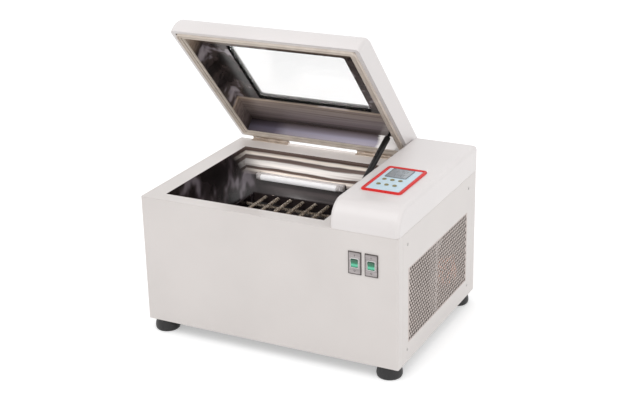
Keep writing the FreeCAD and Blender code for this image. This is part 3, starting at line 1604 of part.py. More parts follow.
def hinge_leaf(start, kept, plate_z, bore):
    """Leaf with the knuckles that it keeps, from the deck or lid to the pin."""
    radius = "(lid_lift / 2 - fit)"
    axis = (HINGE_Y, HINGE_Z)
    plate_rear = f"{HINGE_Y} - lid_lift / 2 - 2 * fit"
    plate = box(
        (start, f"{start} + hinge_length - fit"),
        (f"{HINGE_Y} - hinge_leaf_width", plate_rear),
        plate_z,
    )
    pieces = [plate]
    for index in kept:
        span = knuckle_span(start, index)
        pieces.append(box(span, (plate_rear, HINGE_Y), plate_z))
        pieces.append(cylinder("x", axis, radius, span))
    leaf = fuse(*pieces)
    if bore:
        whole = grown((start, f"{start} + hinge_length"), "overrun")
        return cut(leaf, cylinder("x", axis, bore, whole))
    return leaf


def make_hinges():
    """Two butt hinges in the gap behind the deck: lower leaves keep the pins."""
    count = int(value("hinge_knuckles"))
    lower = []
    upper = []
    deck_side = ("deck_height", "deck_height + hinge_leaf")
    lid_side = (f"{LID_BOTTOM} - hinge_leaf", LID_BOTTOM)
    for start in hinge_starts():
        pin_ends = (start, f"{start} + hinge_length - fit")
        pin = cylinder("x", (HINGE_Y, HINGE_Z), "hinge_pin_radius", pin_ends)
        lower.append(fuse(hinge_leaf(start, range(0, count, 2), deck_side, ""), pin))
        bore = "hinge_pin_radius + shaft_fit"
        upper.append(hinge_leaf(start, range(1, count, 2), lid_side, bore))
    name_part("hinge_lower_leaves", group(*lower))
    name_part("hinge_upper_leaves", group(*upper))


def strut_pose():
    """Foot of the strut, its slope and its length with the lid open."""
    foot = FreeCAD.Vector(value("strut_x"), value("strut_foot_y"), value("strut_foot_z"))
    head = FreeCAD.Vector(value("strut_x"), value("strut_head_y"), value("strut_head_z"))
    open_head = lid_turn().multVec(head)
    reach = open_head - foot
    slope = math.degrees(math.atan2(reach.z, reach.y))
    return foot, slope, reach.Length


def lid_turn():
    """Placement that opens the lid about its hinge."""
    axis = FreeCAD.Vector(-1, 0, 0)
    hinge = FreeCAD.Vector(0, value(HINGE_Y), value(HINGE_Z))
    turn = FreeCAD.Rotation(axis, value("lid_opening_angle"))
    return FreeCAD.Placement(FreeCAD.Vector(), turn, hinge)


def make_strut():
    """Gas strut along its own Y axis: a rod up from its lower eye, a barrel down from its upper eye."""
    eye_x = ("-strut_eye_width / 2", "strut_eye_width / 2")
    eye = cylinder("x", ("0", "0"), "strut_eye_radius", eye_x)
    stud_bore = cylinder("x", ("0", "0"), "strut_stud_radius + shaft_fit", grown(eye_x, "overrun"))
    rod = cylinder("y", ("0", "0"), "strut_rod_radius", ("0", "strut_rod_length"))
    name_part("strut_rod", cut(fuse(rod, eye), stud_bore))
    upper_eye = cylinder("x", ("0", "0"), "strut_eye_radius", eye_x)
    neck = cylinder("y", ("0", "0"), "strut_rod_radius", ("-strut_neck", "0"))
    barrel = cylinder("y", ("0", "0"), "strut_barrel_radius", ("-strut_barrel_length", "-strut_neck"))
    rod_bore = cylinder(
        "y", ("0", "0"), "strut_rod_radius + shaft_fit",
        ("-strut_barrel_length - overrun", "-strut_neck - strut_eye_radius"),
    )
    name_part("strut_cylinder", cut(fuse(upper_eye, neck, barrel), rod_bore))
    foot, slope, length = strut_pose()
    lean = FreeCAD.Rotation(FreeCAD.Vector(1, 0, 0), slope)
    parts["strut_rod"].Placement = FreeCAD.Placement(foot, lean)
    head = foot + lean.multVec(FreeCAD.Vector(0, length, 0))
    parts["strut_cylinder"].Placement = FreeCAD.Placement(head, lean)


def make_strut_studs():
    """Stud on the tub wall through the lower eye, and one on the lid beside the upper."""
    wall = f"({TUB_RIGHT} - tub_wall)"
    foot = ("strut_foot_y", "strut_foot_z")
    tip = "(strut_x - strut_eye_width / 2 - fit)"
    lower = fuse(
        cylinder("x", foot, "strut_stud_radius", (tip, wall)),
        cylinder("x", foot, "strut_stud_head", (f"{tip} - strut_stud_radius / 2", tip)),
    )
    name_part("strut_lower_stud", lower)
    head = ("strut_head_y", "strut_head_z")
    liner_side = f"({LID_RIGHT} - liner_rim)"
    upper_tip = "(strut_x + strut_eye_width / 2 + fit)"
    upper = cylinder("x", head, "strut_stud_head", (upper_tip, liner_side))
    name_part("strut_upper_stud", group(upper))


LID_PARTS = (
    "lid_shell",
    "lid_liner",
    "window_panes",
    "window_gasket",
    "lid_seal",
    "hinge_upper_leaves",
    "strut_upper_stud",
)


def build():
    """Make every sub-part, the cabinet first."""
    fill_sheet()
    make_feet()
    make_base_pan()
    make_front_panel()
    make_rear_panel()
    make_side_panels()
    make_panel_screws()
    make_vent_grille()
    make_top_deck()
    make_chamber_tub()
    make_insulation()
    make_bulkhead()
    make_control_housing()
    make_control_panel()
    make_keys()
    make_switch_frames()
    make_rockers()
    make_power_inlet()
    make_compressor()
    make_condenser()
    make_capillary_coil()
    make_fan_motors()
    make_fans()
    make_duct()
    make_lamp()
    make_drive_shaft()
    make_motor()
    make_belt()
    make_bearings()
    make_idlers()
    make_platform()
    make_rack()
    make_lid_shell()
    make_lid_liner()
    make_window()
    make_lid_seal()
    make_hinges()
    make_strut()
    make_strut_studs()
    doc.recompute()


def place_parts():
    """Open the lid, then move the whole machine onto the origin of the part."""
    for label in LID_PARTS:
        parts[label].Placement = lid_turn().multiply(parts[label].Placement)
    doc.recompute()
    bounds = FreeCAD.BoundBox()
    for feature in parts.values():
        bounds.add(feature.Shape.optimalBoundingBox(False, False))
    middle = bounds.Center
    shift = FreeCAD.Placement(FreeCAD.Vector(-middle.x, -middle.y, -bounds.ZMin), FreeCAD.Rotation())
    for feature in parts.values():
        feature.Placement = shift.multiply(feature.Placement)
    doc.recompute()
    return shift.Base


def check_document():
    """Stop on any failed feature or any sub-part without a valid shape."""
    for item in doc.Objects:
        if "Invalid" in item.State or "Error" in item.State:
            raise RuntimeError(f"{item.Name} failed: {item.State}")
    for label, feature in parts.items():
        if feature.Shape.isNull() or not feature.Shape.isValid():
            raise RuntimeError(f"{label} has no valid shape")


def write_parts():
    os.makedirs("parts", exist_ok=True)
    for label, feature in parts.items():
        feature.Shape.exportStep(os.path.join("parts", f"{label}.step"))


build()
origin_shift = place_parts()
check_document()
write_parts()
print(f"{len(parts)} sub-parts, origin moved by {origin_shift}")
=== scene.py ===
# %% [markdown]
# # Incubated benchtop shaker
# A white cabinet stands on four black feet. Its lid is open, so the polished chamber, the lamp
# and the spring rack show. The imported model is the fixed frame: every new piece takes its place
# and its size from the nodes, and rides on one of the bodies.

# %% Load the frame
import json
import math

import bmesh
import bpy
import numpy as np
from mathutils import Matrix, Vector


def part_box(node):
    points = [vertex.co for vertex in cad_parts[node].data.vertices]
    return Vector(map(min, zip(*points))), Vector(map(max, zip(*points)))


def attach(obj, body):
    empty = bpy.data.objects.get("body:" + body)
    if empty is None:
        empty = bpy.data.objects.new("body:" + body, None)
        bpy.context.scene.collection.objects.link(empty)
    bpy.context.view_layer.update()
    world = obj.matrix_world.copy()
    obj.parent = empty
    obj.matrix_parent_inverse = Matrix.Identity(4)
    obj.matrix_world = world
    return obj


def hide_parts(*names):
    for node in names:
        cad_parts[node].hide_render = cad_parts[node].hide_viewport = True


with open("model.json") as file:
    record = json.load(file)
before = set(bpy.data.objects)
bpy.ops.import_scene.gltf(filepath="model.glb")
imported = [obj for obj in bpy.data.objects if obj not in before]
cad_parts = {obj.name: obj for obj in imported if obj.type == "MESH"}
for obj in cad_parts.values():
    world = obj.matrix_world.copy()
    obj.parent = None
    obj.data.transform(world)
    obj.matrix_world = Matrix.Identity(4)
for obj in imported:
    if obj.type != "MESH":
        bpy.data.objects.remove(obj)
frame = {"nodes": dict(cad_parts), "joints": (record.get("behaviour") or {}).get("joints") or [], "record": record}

MM = 0.001
nodes = frame["nodes"]
scene = bpy.context.scene
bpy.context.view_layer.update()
body_of = {
    name: body
    for body, members in frame["record"]["behaviour"]["bodies"].items()
    for name in members
}
slot_of = {part["node"]: part["material_slot"] for part in frame["record"]["subparts"]}
joint_of = {joint["name"]: joint for joint in frame["joints"]}


def corners(name):
    """Lowest and highest corner of a node at rest, as two arrays in metres."""
    return tuple(np.array(corner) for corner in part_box(name))


def points_of(name):
    """Points of a node at rest, one per row, in metres."""
    mesh = nodes[name].data
    points = np.empty(3 * len(mesh.vertices))
    mesh.vertices.foreach_get("co", points)
    return points.reshape(-1, 3)


# %% [markdown]
# ## Camera
# The photograph looks down on the front right corner from about 23 degrees above the bench, with
# a slight roll. A camera is a place, three axes and a lens. The place was found by fitting a box
# to the photograph. Here the camera turns so that the middle of what it sees is the middle of the
# machine, which needs no shift of the lens.

# %% Camera
PHOTO_WIDTH = 618
PHOTO_FOCUS = 774.03
ENLARGEMENT = 1.70
VIEW_AZIMUTH = math.radians(27.243)
VIEW_ELEVATION = math.radians(22.951)
VIEW_ROLL = math.radians(-1.38)
VIEW_DISTANCE = 3.60564
AIMED_AT = np.array([0, -0.02146, 0.211])
SENSOR = 36
AIMING_ROUNDS = 3


def view_axes(back):
    """Right, up and back axes of a camera that looks against back, turned by the roll."""
    right = np.cross([0, 0, 1], back)
    right /= np.linalg.norm(right)
    up = np.cross(back, right)
    cosine, sine = math.cos(VIEW_ROLL), math.sin(VIEW_ROLL)
    return np.array([right * cosine + up * sine, up * cosine - right * sine, back])


def middle_of_view(place, axes, points):
    """Direction to the middle of the points' shadow on the picture plane."""
    seen = (points - place) @ axes.T
    flat = seen[:, :2] / -seen[:, 2:]
    middle = (flat.min(axis=0) + flat.max(axis=0)) / 2
    toward = middle[0] * axes[0] + middle[1] * axes[1] - axes[2]
    return toward / np.linalg.norm(toward)


level = math.cos(VIEW_ELEVATION)
back = np.array([
    math.sin(VIEW_AZIMUTH) * level, -math.cos(VIEW_AZIMUTH) * level, math.sin(VIEW_ELEVATION),
])
place = AIMED_AT + back * VIEW_DISTANCE
outline = np.concatenate([points_of(name) for name in (
    "lid_shell", "control_housing", "front_panel", "right_panel", "rubber_feet")])
for _ in range(AIMING_ROUNDS):
    back = -middle_of_view(place, view_axes(back), outline)
axes = view_axes(back)
camera = bpy.data.objects.new("camera", bpy.data.cameras.new("camera"))
camera.data.sensor_width = SENSOR
camera.data.lens = PHOTO_FOCUS * ENLARGEMENT * SENSOR / PHOTO_WIDTH
camera.data.clip_end = 100
camera.matrix_world = Matrix([
    [*axes[:, row], place[row]] for row in range(3)
] + [[0, 0, 0, 1]])
scene.collection.objects.link(camera)
scene.camera = camera
print("lens", round(camera.data.lens, 1), "mm, camera at", place.round(4), "along", -back.round(5))

# %% [markdown]
# ## Studio
# Product photographs use a white sweep and large soft lamps. The floor is a white surface that
# catches the machine's shadow. What the camera, the metal and the glass see of the background is
# plain white, by a light path test, while the light that falls on the machine stays at a plain
# level.

# %% Floor, background and lamps
scene.view_settings.view_transform = "Standard"
FLOOR_SIZE = 60
FLOOR_WHITE = 0.86
FLOOR_GLOW = 0.38
SKY_LEVEL = 0.86
SOFTBOX_SIZE = 2.2
LAMPS = {
    "overhead_softbox": ((-0.4, -1.9, 3.0), 22), "front_softbox": ((1.0, -3.6, 1.7), 3),
    "side_softbox": ((3.4, -1.0, 1.5), 15),
}
LAMP_AIM = Vector((0, 0, 0.3))


def add_node(tree, kind, inputs=None, **settings):
    """New shader node. An input is either a value or the output that feeds it."""
    made = tree.nodes.new(kind)
    for name, setting in settings.items():
        setattr(made, name, setting)
    for name, source in (inputs or {}).items():
        if isinstance(source, bpy.types.NodeSocket):
            tree.links.new(source, made.inputs[name])
        else:
            made.inputs[name].default_value = source
    return made


def background_share(tree):
    """1 for camera, glossy and transmitted rays, otherwise 0."""
    path = add_node(tree, "ShaderNodeLightPath").outputs
    seen = add_node(tree, "ShaderNodeMath", {0: path["Is Camera Ray"], 1: path["Is Glossy Ray"]},
                    operation="MAXIMUM")
    both = {0: seen.outputs[0], 1: path["Is Transmission Ray"]}
    return add_node(tree, "ShaderNodeMath", both, operation="MAXIMUM").outputs[0]


world = bpy.data.worlds.new("studio")
world.use_nodes = True
tree = world.node_tree
tree.nodes.clear()
light = add_node(tree, "ShaderNodeBackground", {"Color": (1, 1, 1, 1), "Strength": SKY_LEVEL})
white = add_node(tree, "ShaderNodeBackground", {"Color": (1, 1, 1, 1), "Strength": 1})
mixed = add_node(tree, "ShaderNodeMixShader", {
    0: background_share(tree), 1: light.outputs[0], 2: white.outputs[0],
})
add_node(tree, "ShaderNodeOutputWorld", {"Surface": mixed.outputs[0]})
scene.world = world

floor_mesh = bpy.data.meshes.new("floor")
half = FLOOR_SIZE / 2
floor_mesh.from_pydata(
    [(-half, -half, 0), (half, -half, 0), (half, half, 0), (-half, half, 0)], [], [(0, 1, 2, 3)],
)
floor = bpy.data.objects.new("floor", floor_mesh)
scene.collection.objects.link(floor)
floor_material = bpy.data.materials.new("floor_white")
floor_material.use_nodes = True
tree = floor_material.node_tree
tree.nodes.clear()
matte = add_node(tree, "ShaderNodeBsdfDiffuse", {"Color": (FLOOR_WHITE,) * 3 + (1,)})
share = add_node(tree, "ShaderNodeMath", {0: background_share(tree), 1: FLOOR_GLOW}, operation="MULTIPLY")
glow = add_node(tree, "ShaderNodeEmission", {"Strength": share.outputs[0]})
total = add_node(tree, "ShaderNodeAddShader", {0: matte.outputs[0], 1: glow.outputs[0]})
add_node(tree, "ShaderNodeOutputMaterial", {"Surface": total.outputs[0]})
floor_mesh.materials.append(floor_material)


def aimed_lamp(name, kind, place, aim, power):
    """Lamp of a kind that looks from its place at a point."""
    lamp = bpy.data.objects.new(name, bpy.data.lights.new(name, kind))
    lamp.data.energy = power
    lamp.location = place
    lamp.rotation_euler = (aim - lamp.location).to_track_quat("-Z", "Y").to_euler()
    scene.collection.objects.link(lamp)
    return lamp


for name, (place, power) in LAMPS.items():
    softbox = aimed_lamp(name, "AREA", place, LAMP_AIM, power)
    softbox.data.shape = "SQUARE"
    softbox.data.size = SOFTBOX_SIZE
print("floor,", len(LAMPS), "softboxes and a white background")

# %% [markdown]
# ## Finishes
# Most finishes here are a base colour that wanders a little, a roughness that wanders with it and
# a fine relief. One function makes them all: a noise pattern, stretched along the axes of the
# object, drives a colour ramp, a roughness range and a bump. Powder coat, moulded plastic, rubber
# and metal differ only in their numbers.


# %% One function for most finishes
def colour(red, green, blue):
    """Linear colour from the values 0 to 255 of a paint chip."""
    chip = np.array([red, green, blue]) / 255
    linear = np.where(chip <= 0.04045, chip / 12.92, ((chip + 0.055) / 1.055) ** 2.4)
    return (*linear, 1)


def painted(stops):
    """Stops of a ramp from rows of a position and the three values of a paint chip."""
    return [(position, colour(*chip)) for position, *chip in stops]


def ramp_of(tree, factor, stops):
    """Colour at the factor's place between stops, each a position and a linear colour."""
    ramp = add_node(tree, "ShaderNodeValToRGB", {"Fac": factor})
    elements = ramp.color_ramp.elements
    while len(elements) < len(stops):
        elements.new(1)
    for element, (position, tone) in zip(elements, stops):
        element.position = position
        element.color = tone
    return ramp.outputs["Color"]


def own_place(tree):
    """Places on the object itself."""
    return add_node(tree, "ShaderNodeTexCoord").outputs["Object"]


def share_of(tree, source, low, high):
    """Where a value lies between two ends, from 0 to 1."""
    inputs = {"Value": source, "From Min": float(low), "From Max": float(high)}
    return add_node(tree, "ShaderNodeMapRange", inputs).outputs["Result"]


def long_noise(tree, place, stretch, detail=3.0):
    """Noise whose features are stretched along the axes."""
    stretched = add_node(tree, "ShaderNodeVectorMath", {0: place, 1: stretch}, operation="MULTIPLY")
    return add_node(tree, "ShaderNodeTexNoise", {
        "Vector": stretched.outputs[0], "Scale": 1.0, "Detail": detail,
    }).outputs["Fac"]


def new_material(name):
    """Principled material: its node tree and its shader."""
    material = bpy.data.materials.new(name)
    material.use_nodes = True
    return material, material.node_tree, material.node_tree.nodes["Principled BSDF"]


def finish(name, chips, stretch=30, roughness=(0.35, 0.45), grain=900, relief=0.05, depth=0.1,
           places=(0, 1), contrast=(0.3, 0.7), **constants):
    """Principled material: noise sets the colour between the paint chips and the roughness in its
    range, and finer noise makes a relief of the depth in millimetres."""
    material, tree, shader = new_material(name)
    stretch = (stretch,) * 3 if np.isscalar(stretch) else stretch
    spread = share_of(tree, long_noise(tree, own_place(tree), stretch), *contrast)
    tone = ramp_of(tree, spread, painted([(place, *chip) for place, chip in zip(places, chips)]))
    tree.links.new(tone, shader.inputs["Base Color"])
    gloss = add_node(tree, "ShaderNodeMapRange", {
        "Value": spread, "To Min": roughness[0], "To Max": roughness[1],
    })
    tree.links.new(gloss.outputs["Result"], shader.inputs["Roughness"])
    fine = add_node(tree, "ShaderNodeTexNoise", {"Vector": own_place(tree), "Scale": grain})
    bump = add_node(tree, "ShaderNodeBump", {
        "Height": fine.outputs["Fac"], "Strength": relief, "Distance": depth * MM,
    })
    tree.links.new(bump.outputs["Normal"], shader.inputs["Normal"])
    for socket, constant in constants.items():
        shader.inputs[socket.replace("_", " ").title().replace("Ior", "IOR")].default_value = constant
    return material


PAINT = {"coat_weight": 0.25, "coat_roughness": 0.12}
LIT = {"coat_weight": 0.5, "emission_color": (1, 0.99, 1, 1), "emission_strength": 0.32}
finishes = {name: finish(name, *row[0], **row[1]) for name, row in {
    "white_enamel": (([(212, 206, 203), (217, 211, 208)], 6, (0.34, 0.42), 420, 0.12, 0.15), PAINT),
    "white_enamel_bright": (([(221, 216, 215), (226, 221, 220)], 6, (0.3, 0.38), 420, 0.1, 0.15), PAINT),
    # The grille's paint is the panel's white, darkened as painted shade over the perforated field.
    "grille_paint": (([(192, 180, 174), (200, 188, 182)], 12, (0.4, 0.5), 420, 0.12, 0.15), {}),
    "galvanised_steel": (([(96, 94, 93), (132, 130, 128)], 90, (0.4, 0.6)), {"metallic": 0.6}),
    "steel": (([(120, 118, 116), (165, 163, 160)], 60, (0.3, 0.5)), {"metallic": 1.0}),
    "aluminium": (([(168, 164, 160), (202, 198, 194)], (40, 40, 200), (0.35, 0.5)), {"metallic": 0.6}),
    "foam": (([(214, 204, 170), (232, 224, 196)], 60, (0.9, 1.0), 500, 0.6, 1), {}),
    "red_plastic": (([(206, 12, 8), (220, 18, 12)], 40, (0.35, 0.45), 700, 0.06), {}),
    "keypad_film": (([(196, 219, 231), (207, 226, 236)], 60, (0.4, 0.5), 1500, 0.15), {}),
    "display_glass": (
        ([(126, 135, 142), (146, 155, 162)], (30, 200, 30), (0.08, 0.12), 600, 0.01), {"coat_weight": 0.6}),
    "key_plastic": (([(120, 112, 70), (152, 143, 100)], 200, (0.35, 0.5), 900, 0.1), {}),
    "circuit_board": (
        ([(14, 66, 34), (24, 92, 50), (150, 120, 60)], 220, (0.4, 0.55)),
        {"places": (0, 0.5, 1), "contrast": (0.35, 0.8)}),
    "switch_plate": (([(62, 54, 52), (82, 74, 72)], 60, (0.4, 0.55), 700, 0.15), {}),
    "switch_silver": (([(146, 139, 139), (178, 171, 171)], (30, 30, 300)), {"metallic": 0.25}),
    "switch_rim": (([(206, 208, 206), (222, 224, 222)], 60, (0.3, 0.4), 900, 0.08), {}),
    "printed_ink": (([(46, 42, 42), (62, 58, 58)], 90, (0.5, 0.6)), {}),
    "display_ink": (([(88, 96, 103), (100, 108, 115)], 90, (0.2, 0.3)), {}),
    "zinc_screw": (([(176, 174, 172), (208, 206, 203)], 200, (0.3, 0.45)), {"metallic": 0.45}),
    "hinge_brass": (([(168, 152, 138), (204, 190, 176)], (60, 200, 200), (0.35, 0.5)), {"metallic": 0.35}),
    "pipe_foam": (([(226, 222, 216), (243, 240, 236)], 60, (0.85, 0.95), 300, 0.6, 1), {}),
    "black_rubber": (([(24, 23, 24), (38, 37, 38)], 60, (0.38, 0.55), 500, 0.2), {}),
    "gasket_rubber": (
        ([(18, 17, 17), (28, 27, 27)], 60, (0.75, 0.9), 500, 0.2), {"specular_ior_level": 0.1}),
    "seal_rubber": (([(200, 188, 176), (216, 205, 194)], 25, (0.55, 0.7), 500, 0.3, 0.3), {}),
    "black_plastic": (([(22, 22, 24), (34, 34, 36)], 60, (0.35, 0.5), 800, 0.2), {}),
    "black_enamel": (([(13, 13, 14), (22, 22, 23)], 30, (0.3, 0.4)), {}),
    # fin_metal is aluminium darkened as painted shade behind the vent.
    "fin_metal": (([(84, 76, 71), (118, 109, 104)], (40, 40, 160), (0.45, 0.6)), {"metallic": 0.4}),
    "copper": (
        ([(196, 118, 84), (224, 150, 114), (244, 184, 150)], 45, (0.2, 0.38)),
        {"places": (0, 0.6, 1), "metallic": 0.7}),
    "lamp_white": (([(243, 241, 243), (248, 247, 248)], (10, 30, 30), (0.2, 0.28)), LIT),
    # Steel grey warmed to beige: the tint and its light patches are partly painted reflection of the cream
    # chamber.
    "spring_steel": (([(150, 136, 122), (228, 214, 198)], 120, (0.2, 0.3)), {"metallic": 0.75}),
}.items()}
print(len(finishes), "finishes of one function")

# %% [markdown]
# ## Polished steel
# The tub and the pan inside the lid are thin polished sheet. Thin sheet is never quite flat, so it
# shows the room as long soft bands, dark next to bright. These reflections are painted into the
# metal's base colour here: a ramp over the distance across the sheet, pushed about by long noise, and
# darker mottles of painted reflection on the walls where the bands don't run. The darkest lines next
# to the lip and the seals are painted shade.

# %% A steel with painted reflections
LID_ANGLE = math.radians(-joint_of["lid_hinge"]["range_deg"][0])
LID_TURN = Matrix.Rotation(LID_ANGLE, 3, "X")
hinge_place = np.array(joint_of["lid_hinge"]["pos_m"])


def lid_axes(tree):
    """Places on the lid as they are when it is closed: turned about the hinge by the lid's angle."""
    arm = Vector(hinge_place)
    shift = arm - LID_TURN @ arm
    return add_node(tree, "ShaderNodeMapping", {
        "Vector": own_place(tree), "Rotation": (LID_ANGLE, 0, 0), "Location": shift,
    }).outputs[0]


def mixed_colour(tree, factor, first, second, blend="MIX"):
    """Colour between two others, or one multiplied by the other."""
    mix = add_node(tree, "ShaderNodeMix", {0: factor}, data_type="RGBA", blend_type=blend)
    for place, source in ((6, first), (7, second)):
        if isinstance(source, bpy.types.NodeSocket):
            tree.links.new(source, mix.inputs[place])
        else:
            mix.inputs[place].default_value = source
    return mix.outputs[2]


# Streaks that lighten and darken the painted reflection bands.
REFLECTION_STREAKS = [(0.0, (0.6, 0.57, 0.56, 1)), (0.5, (1, 1, 1, 1)), (1.0, (1.2, 1.19, 1.18, 1))]
WAVE_STRETCH, SPOT_STRETCH, DENT_STRETCH = (5, 9, 9), (17, 17, 12), (40, 40, 40)
MIDDLE_NOISE = (0.3, 0.7)


def steel_with_painted_reflections(name, axis, ends, bands, place_of, wander, streaks, mottle_where, mottles, over=None):
    """Steel with painted reflections: bands of colour across one axis, between two ends, stand for the
    room mirrored in the sheet. Long noise moves the bands by up to the wander, and finer streaks
    lighten and darken them. Mottles of painted reflection take over where asked, and another pattern
    may lie over all of it."""
    material, tree, shader = new_material(name)
    place = place_of(tree)
    across = add_node(tree, "ShaderNodeSeparateXYZ", {"Vector": place}).outputs[axis]
    wave = share_of(tree, long_noise(tree, place, WAVE_STRETCH), *MIDDLE_NOISE)
    pushed = add_node(tree, "ShaderNodeMath", {0: wave, 1: wander, 2: across}, operation="MULTIPLY_ADD")
    band = ramp_of(tree, share_of(tree, pushed.outputs[0], *ends), bands)
    reflection_streak = ramp_of(tree, share_of(tree, long_noise(tree, place, streaks, 5.0), *MIDDLE_NOISE), REFLECTION_STREAKS)
    tone = mixed_colour(tree, 1.0, band, reflection_streak, "MULTIPLY")
    reflection_mottles = ramp_of(tree, share_of(tree, long_noise(tree, place, SPOT_STRETCH, 2.0), 0.32, 0.68), mottles)
    tone = mixed_colour(tree, mottle_where(tree, place), tone, reflection_mottles)
    if over:
        tone = over(tree, place, tone)
    tree.links.new(tone, shader.inputs["Base Color"])
    relief = add_node(tree, "ShaderNodeBump", {
        "Height": long_noise(tree, place, DENT_STRETCH), "Strength": 0.1, "Distance": 2 * MM,
    })
    tree.links.new(relief.outputs["Normal"], shader.inputs["Normal"])
    shader.inputs["Metallic"].default_value = 0.15
    shader.inputs["Roughness"].default_value = 0.22
    return material


# Mottles of painted reflection, light and dark, for the strips beside the lid's window.
REFLECTION_MOTTLES = painted([
    (0.0, 26, 21, 21), (0.3, 44, 37, 36), (0.5, 72, 62, 60), (0.66, 84, 74, 72),
    (0.74, 140, 131, 136), (1.0, 196, 188, 192),
])
# Dark mottles of painted reflection for the tub's side walls.
TUB_REFLECTION_MOTTLES = painted([
    (0.0, 22, 18, 18), (0.5, 34, 28, 29), (0.68, 50, 43, 44), (0.8, 74, 66, 70),
    (1.0, 120, 112, 118),
])

# %% [markdown]
# The rear wall of the tub has its painted reflection bands one below the other, and the side walls
# have mottles of painted reflection, so a test of the surface's own direction chooses between the
# two. Inside the lid the painted reflection bands run across from the front edge to the rear one,
# and the strips beside the window have mottles of painted reflection.

# %% Steel of the tub and of the lid
tub_low, tub_high = corners("chamber_tub")
# Painted reflections down the tub's walls from the floor to the top lip, with painted shade in the dark lines at
# the lip.
TUB_REFLECTION_BANDS = painted([
    (0.0, 56, 48, 47), (0.4, 54, 46, 46), (0.6, 70, 61, 61), (0.635, 34, 28, 28),
    (0.65, 42, 36, 36), (0.662, 160, 150, 146), (0.69, 178, 168, 162), (0.70, 240, 230, 220),
    (0.725, 230, 218, 208), (0.735, 104, 88, 82), (0.765, 96, 82, 76), (0.775, 250, 243, 238),
    (0.85, 255, 250, 246), (0.865, 126, 110, 104), (0.91, 118, 104, 100), (0.92, 240, 230, 220),
    (0.955, 230, 218, 208), (0.97, 96, 80, 74), (1.0, 110, 94, 88),
])


def side_walls(tree, place):
    """1 on walls that face sideways, 0 on those that face front or rear."""
    normal = add_node(tree, "ShaderNodeNewGeometry").outputs["Normal"]
    sideways = add_node(tree, "ShaderNodeSeparateXYZ", {"Vector": normal}).outputs["X"]
    size = add_node(tree, "ShaderNodeMath", {0: sideways}, operation="ABSOLUTE")
    return share_of(tree, size.outputs[0], 0.4, 0.6)


finishes["polished_steel"] = steel_with_painted_reflections(
    "polished_steel", "Z", (tub_low[2], tub_high[2]), TUB_REFLECTION_BANDS, own_place, 6 * MM,
    (3, 40, 90), side_walls, TUB_REFLECTION_MOTTLES)


def about_hinge(points, angle):
    """Points turned about the hinge line: y and z go round the hinge by the angle."""
    arm = np.asarray(points) - hinge_place
    cosine, sine = math.cos(angle), math.sin(angle)
    depth = arm[..., 1] * cosine - arm[..., 2] * sine
    height = arm[..., 1] * sine + arm[..., 2] * cosine
    return np.stack([arm[..., 0], depth, height], axis=-1) + hinge_place


def closed_points(name):
    """Points of a lid node, with the lid closed."""
    return about_hinge(points_of(name), LID_ANGLE)


def closed_corners(name):
    """Lowest and highest corner of a lid node, with the lid closed."""
    closed = closed_points(name)
    return closed.min(axis=0), closed.max(axis=0)


pane_low, pane_high = closed_corners("window_panes")
liner_low, liner_high = closed_corners("lid_liner")
LINER_SHEET = 1 * MM
liner_points = closed_points("lid_liner")
pan_points = liner_points[liner_points[:, 2] > liner_high[2] - LINER_SHEET / 2]
pan_low, pan_high = pan_points.min(axis=0), pan_points.max(axis=0)
# Painted reflections across the lid's pan from front to rear, with painted shade in the dark brown strips beside
# the seals.
LID_REFLECTION_BANDS = painted([
    (0.0, 104, 88, 78), (0.045, 112, 96, 84), (0.055, 218, 204, 190), (0.13, 176, 158, 142),
    (0.22, 74, 62, 56), (0.29, 60, 52, 50), (0.5, 80, 72, 74), (0.69, 66, 58, 58),
    (0.7, 246, 234, 216), (0.73, 224, 202, 180), (0.745, 150, 134, 124), (0.80, 142, 129, 124),
    (0.86, 128, 116, 112), (0.90, 112, 100, 98), (0.94, 70, 60, 58), (1.0, 104, 88, 78),
])
# Painted reflections down the pan's rear wall.
LINER_WALL_REFLECTIONS = painted([
    (0.0, 128, 116, 112), (0.06, 156, 150, 160), (0.4, 146, 142, 156), (0.6, 116, 109, 118),
    (0.85, 88, 79, 82), (1.0, 54, 46, 46),
])
# Painted shade at the left end of the pan's rear wall, rising to painted light at the right.
LINER_SHADE = [
    (0.0, (0.3, 0.28, 0.3, 1)), (0.2, (0.34, 0.32, 0.36, 1)), (0.28, (0.85, 0.84, 0.85, 1)),
    (0.8, (1.3, 1.3, 1.32, 1)), (1.0, (1.3, 1.3, 1.32, 1)),
]


def beside_window(tree, place):
    """1 on the strips left and right of the window, 0 elsewhere."""
    parts = add_node(tree, "ShaderNodeSeparateXYZ", {"Vector": place}).outputs
    middle = float(pane_low[1] + pane_high[1]) / 2
    offset = add_node(tree, "ShaderNodeMath", {0: parts["Y"], 1: middle}, operation="SUBTRACT")
    size = add_node(tree, "ShaderNodeMath", {0: offset.outputs[0]}, operation="ABSOLUTE")
    half_length = (pane_high[1] - pane_low[1]) / 2
    return share_of(tree, size.outputs[0], half_length - 2 * MM, half_length - 14 * MM)


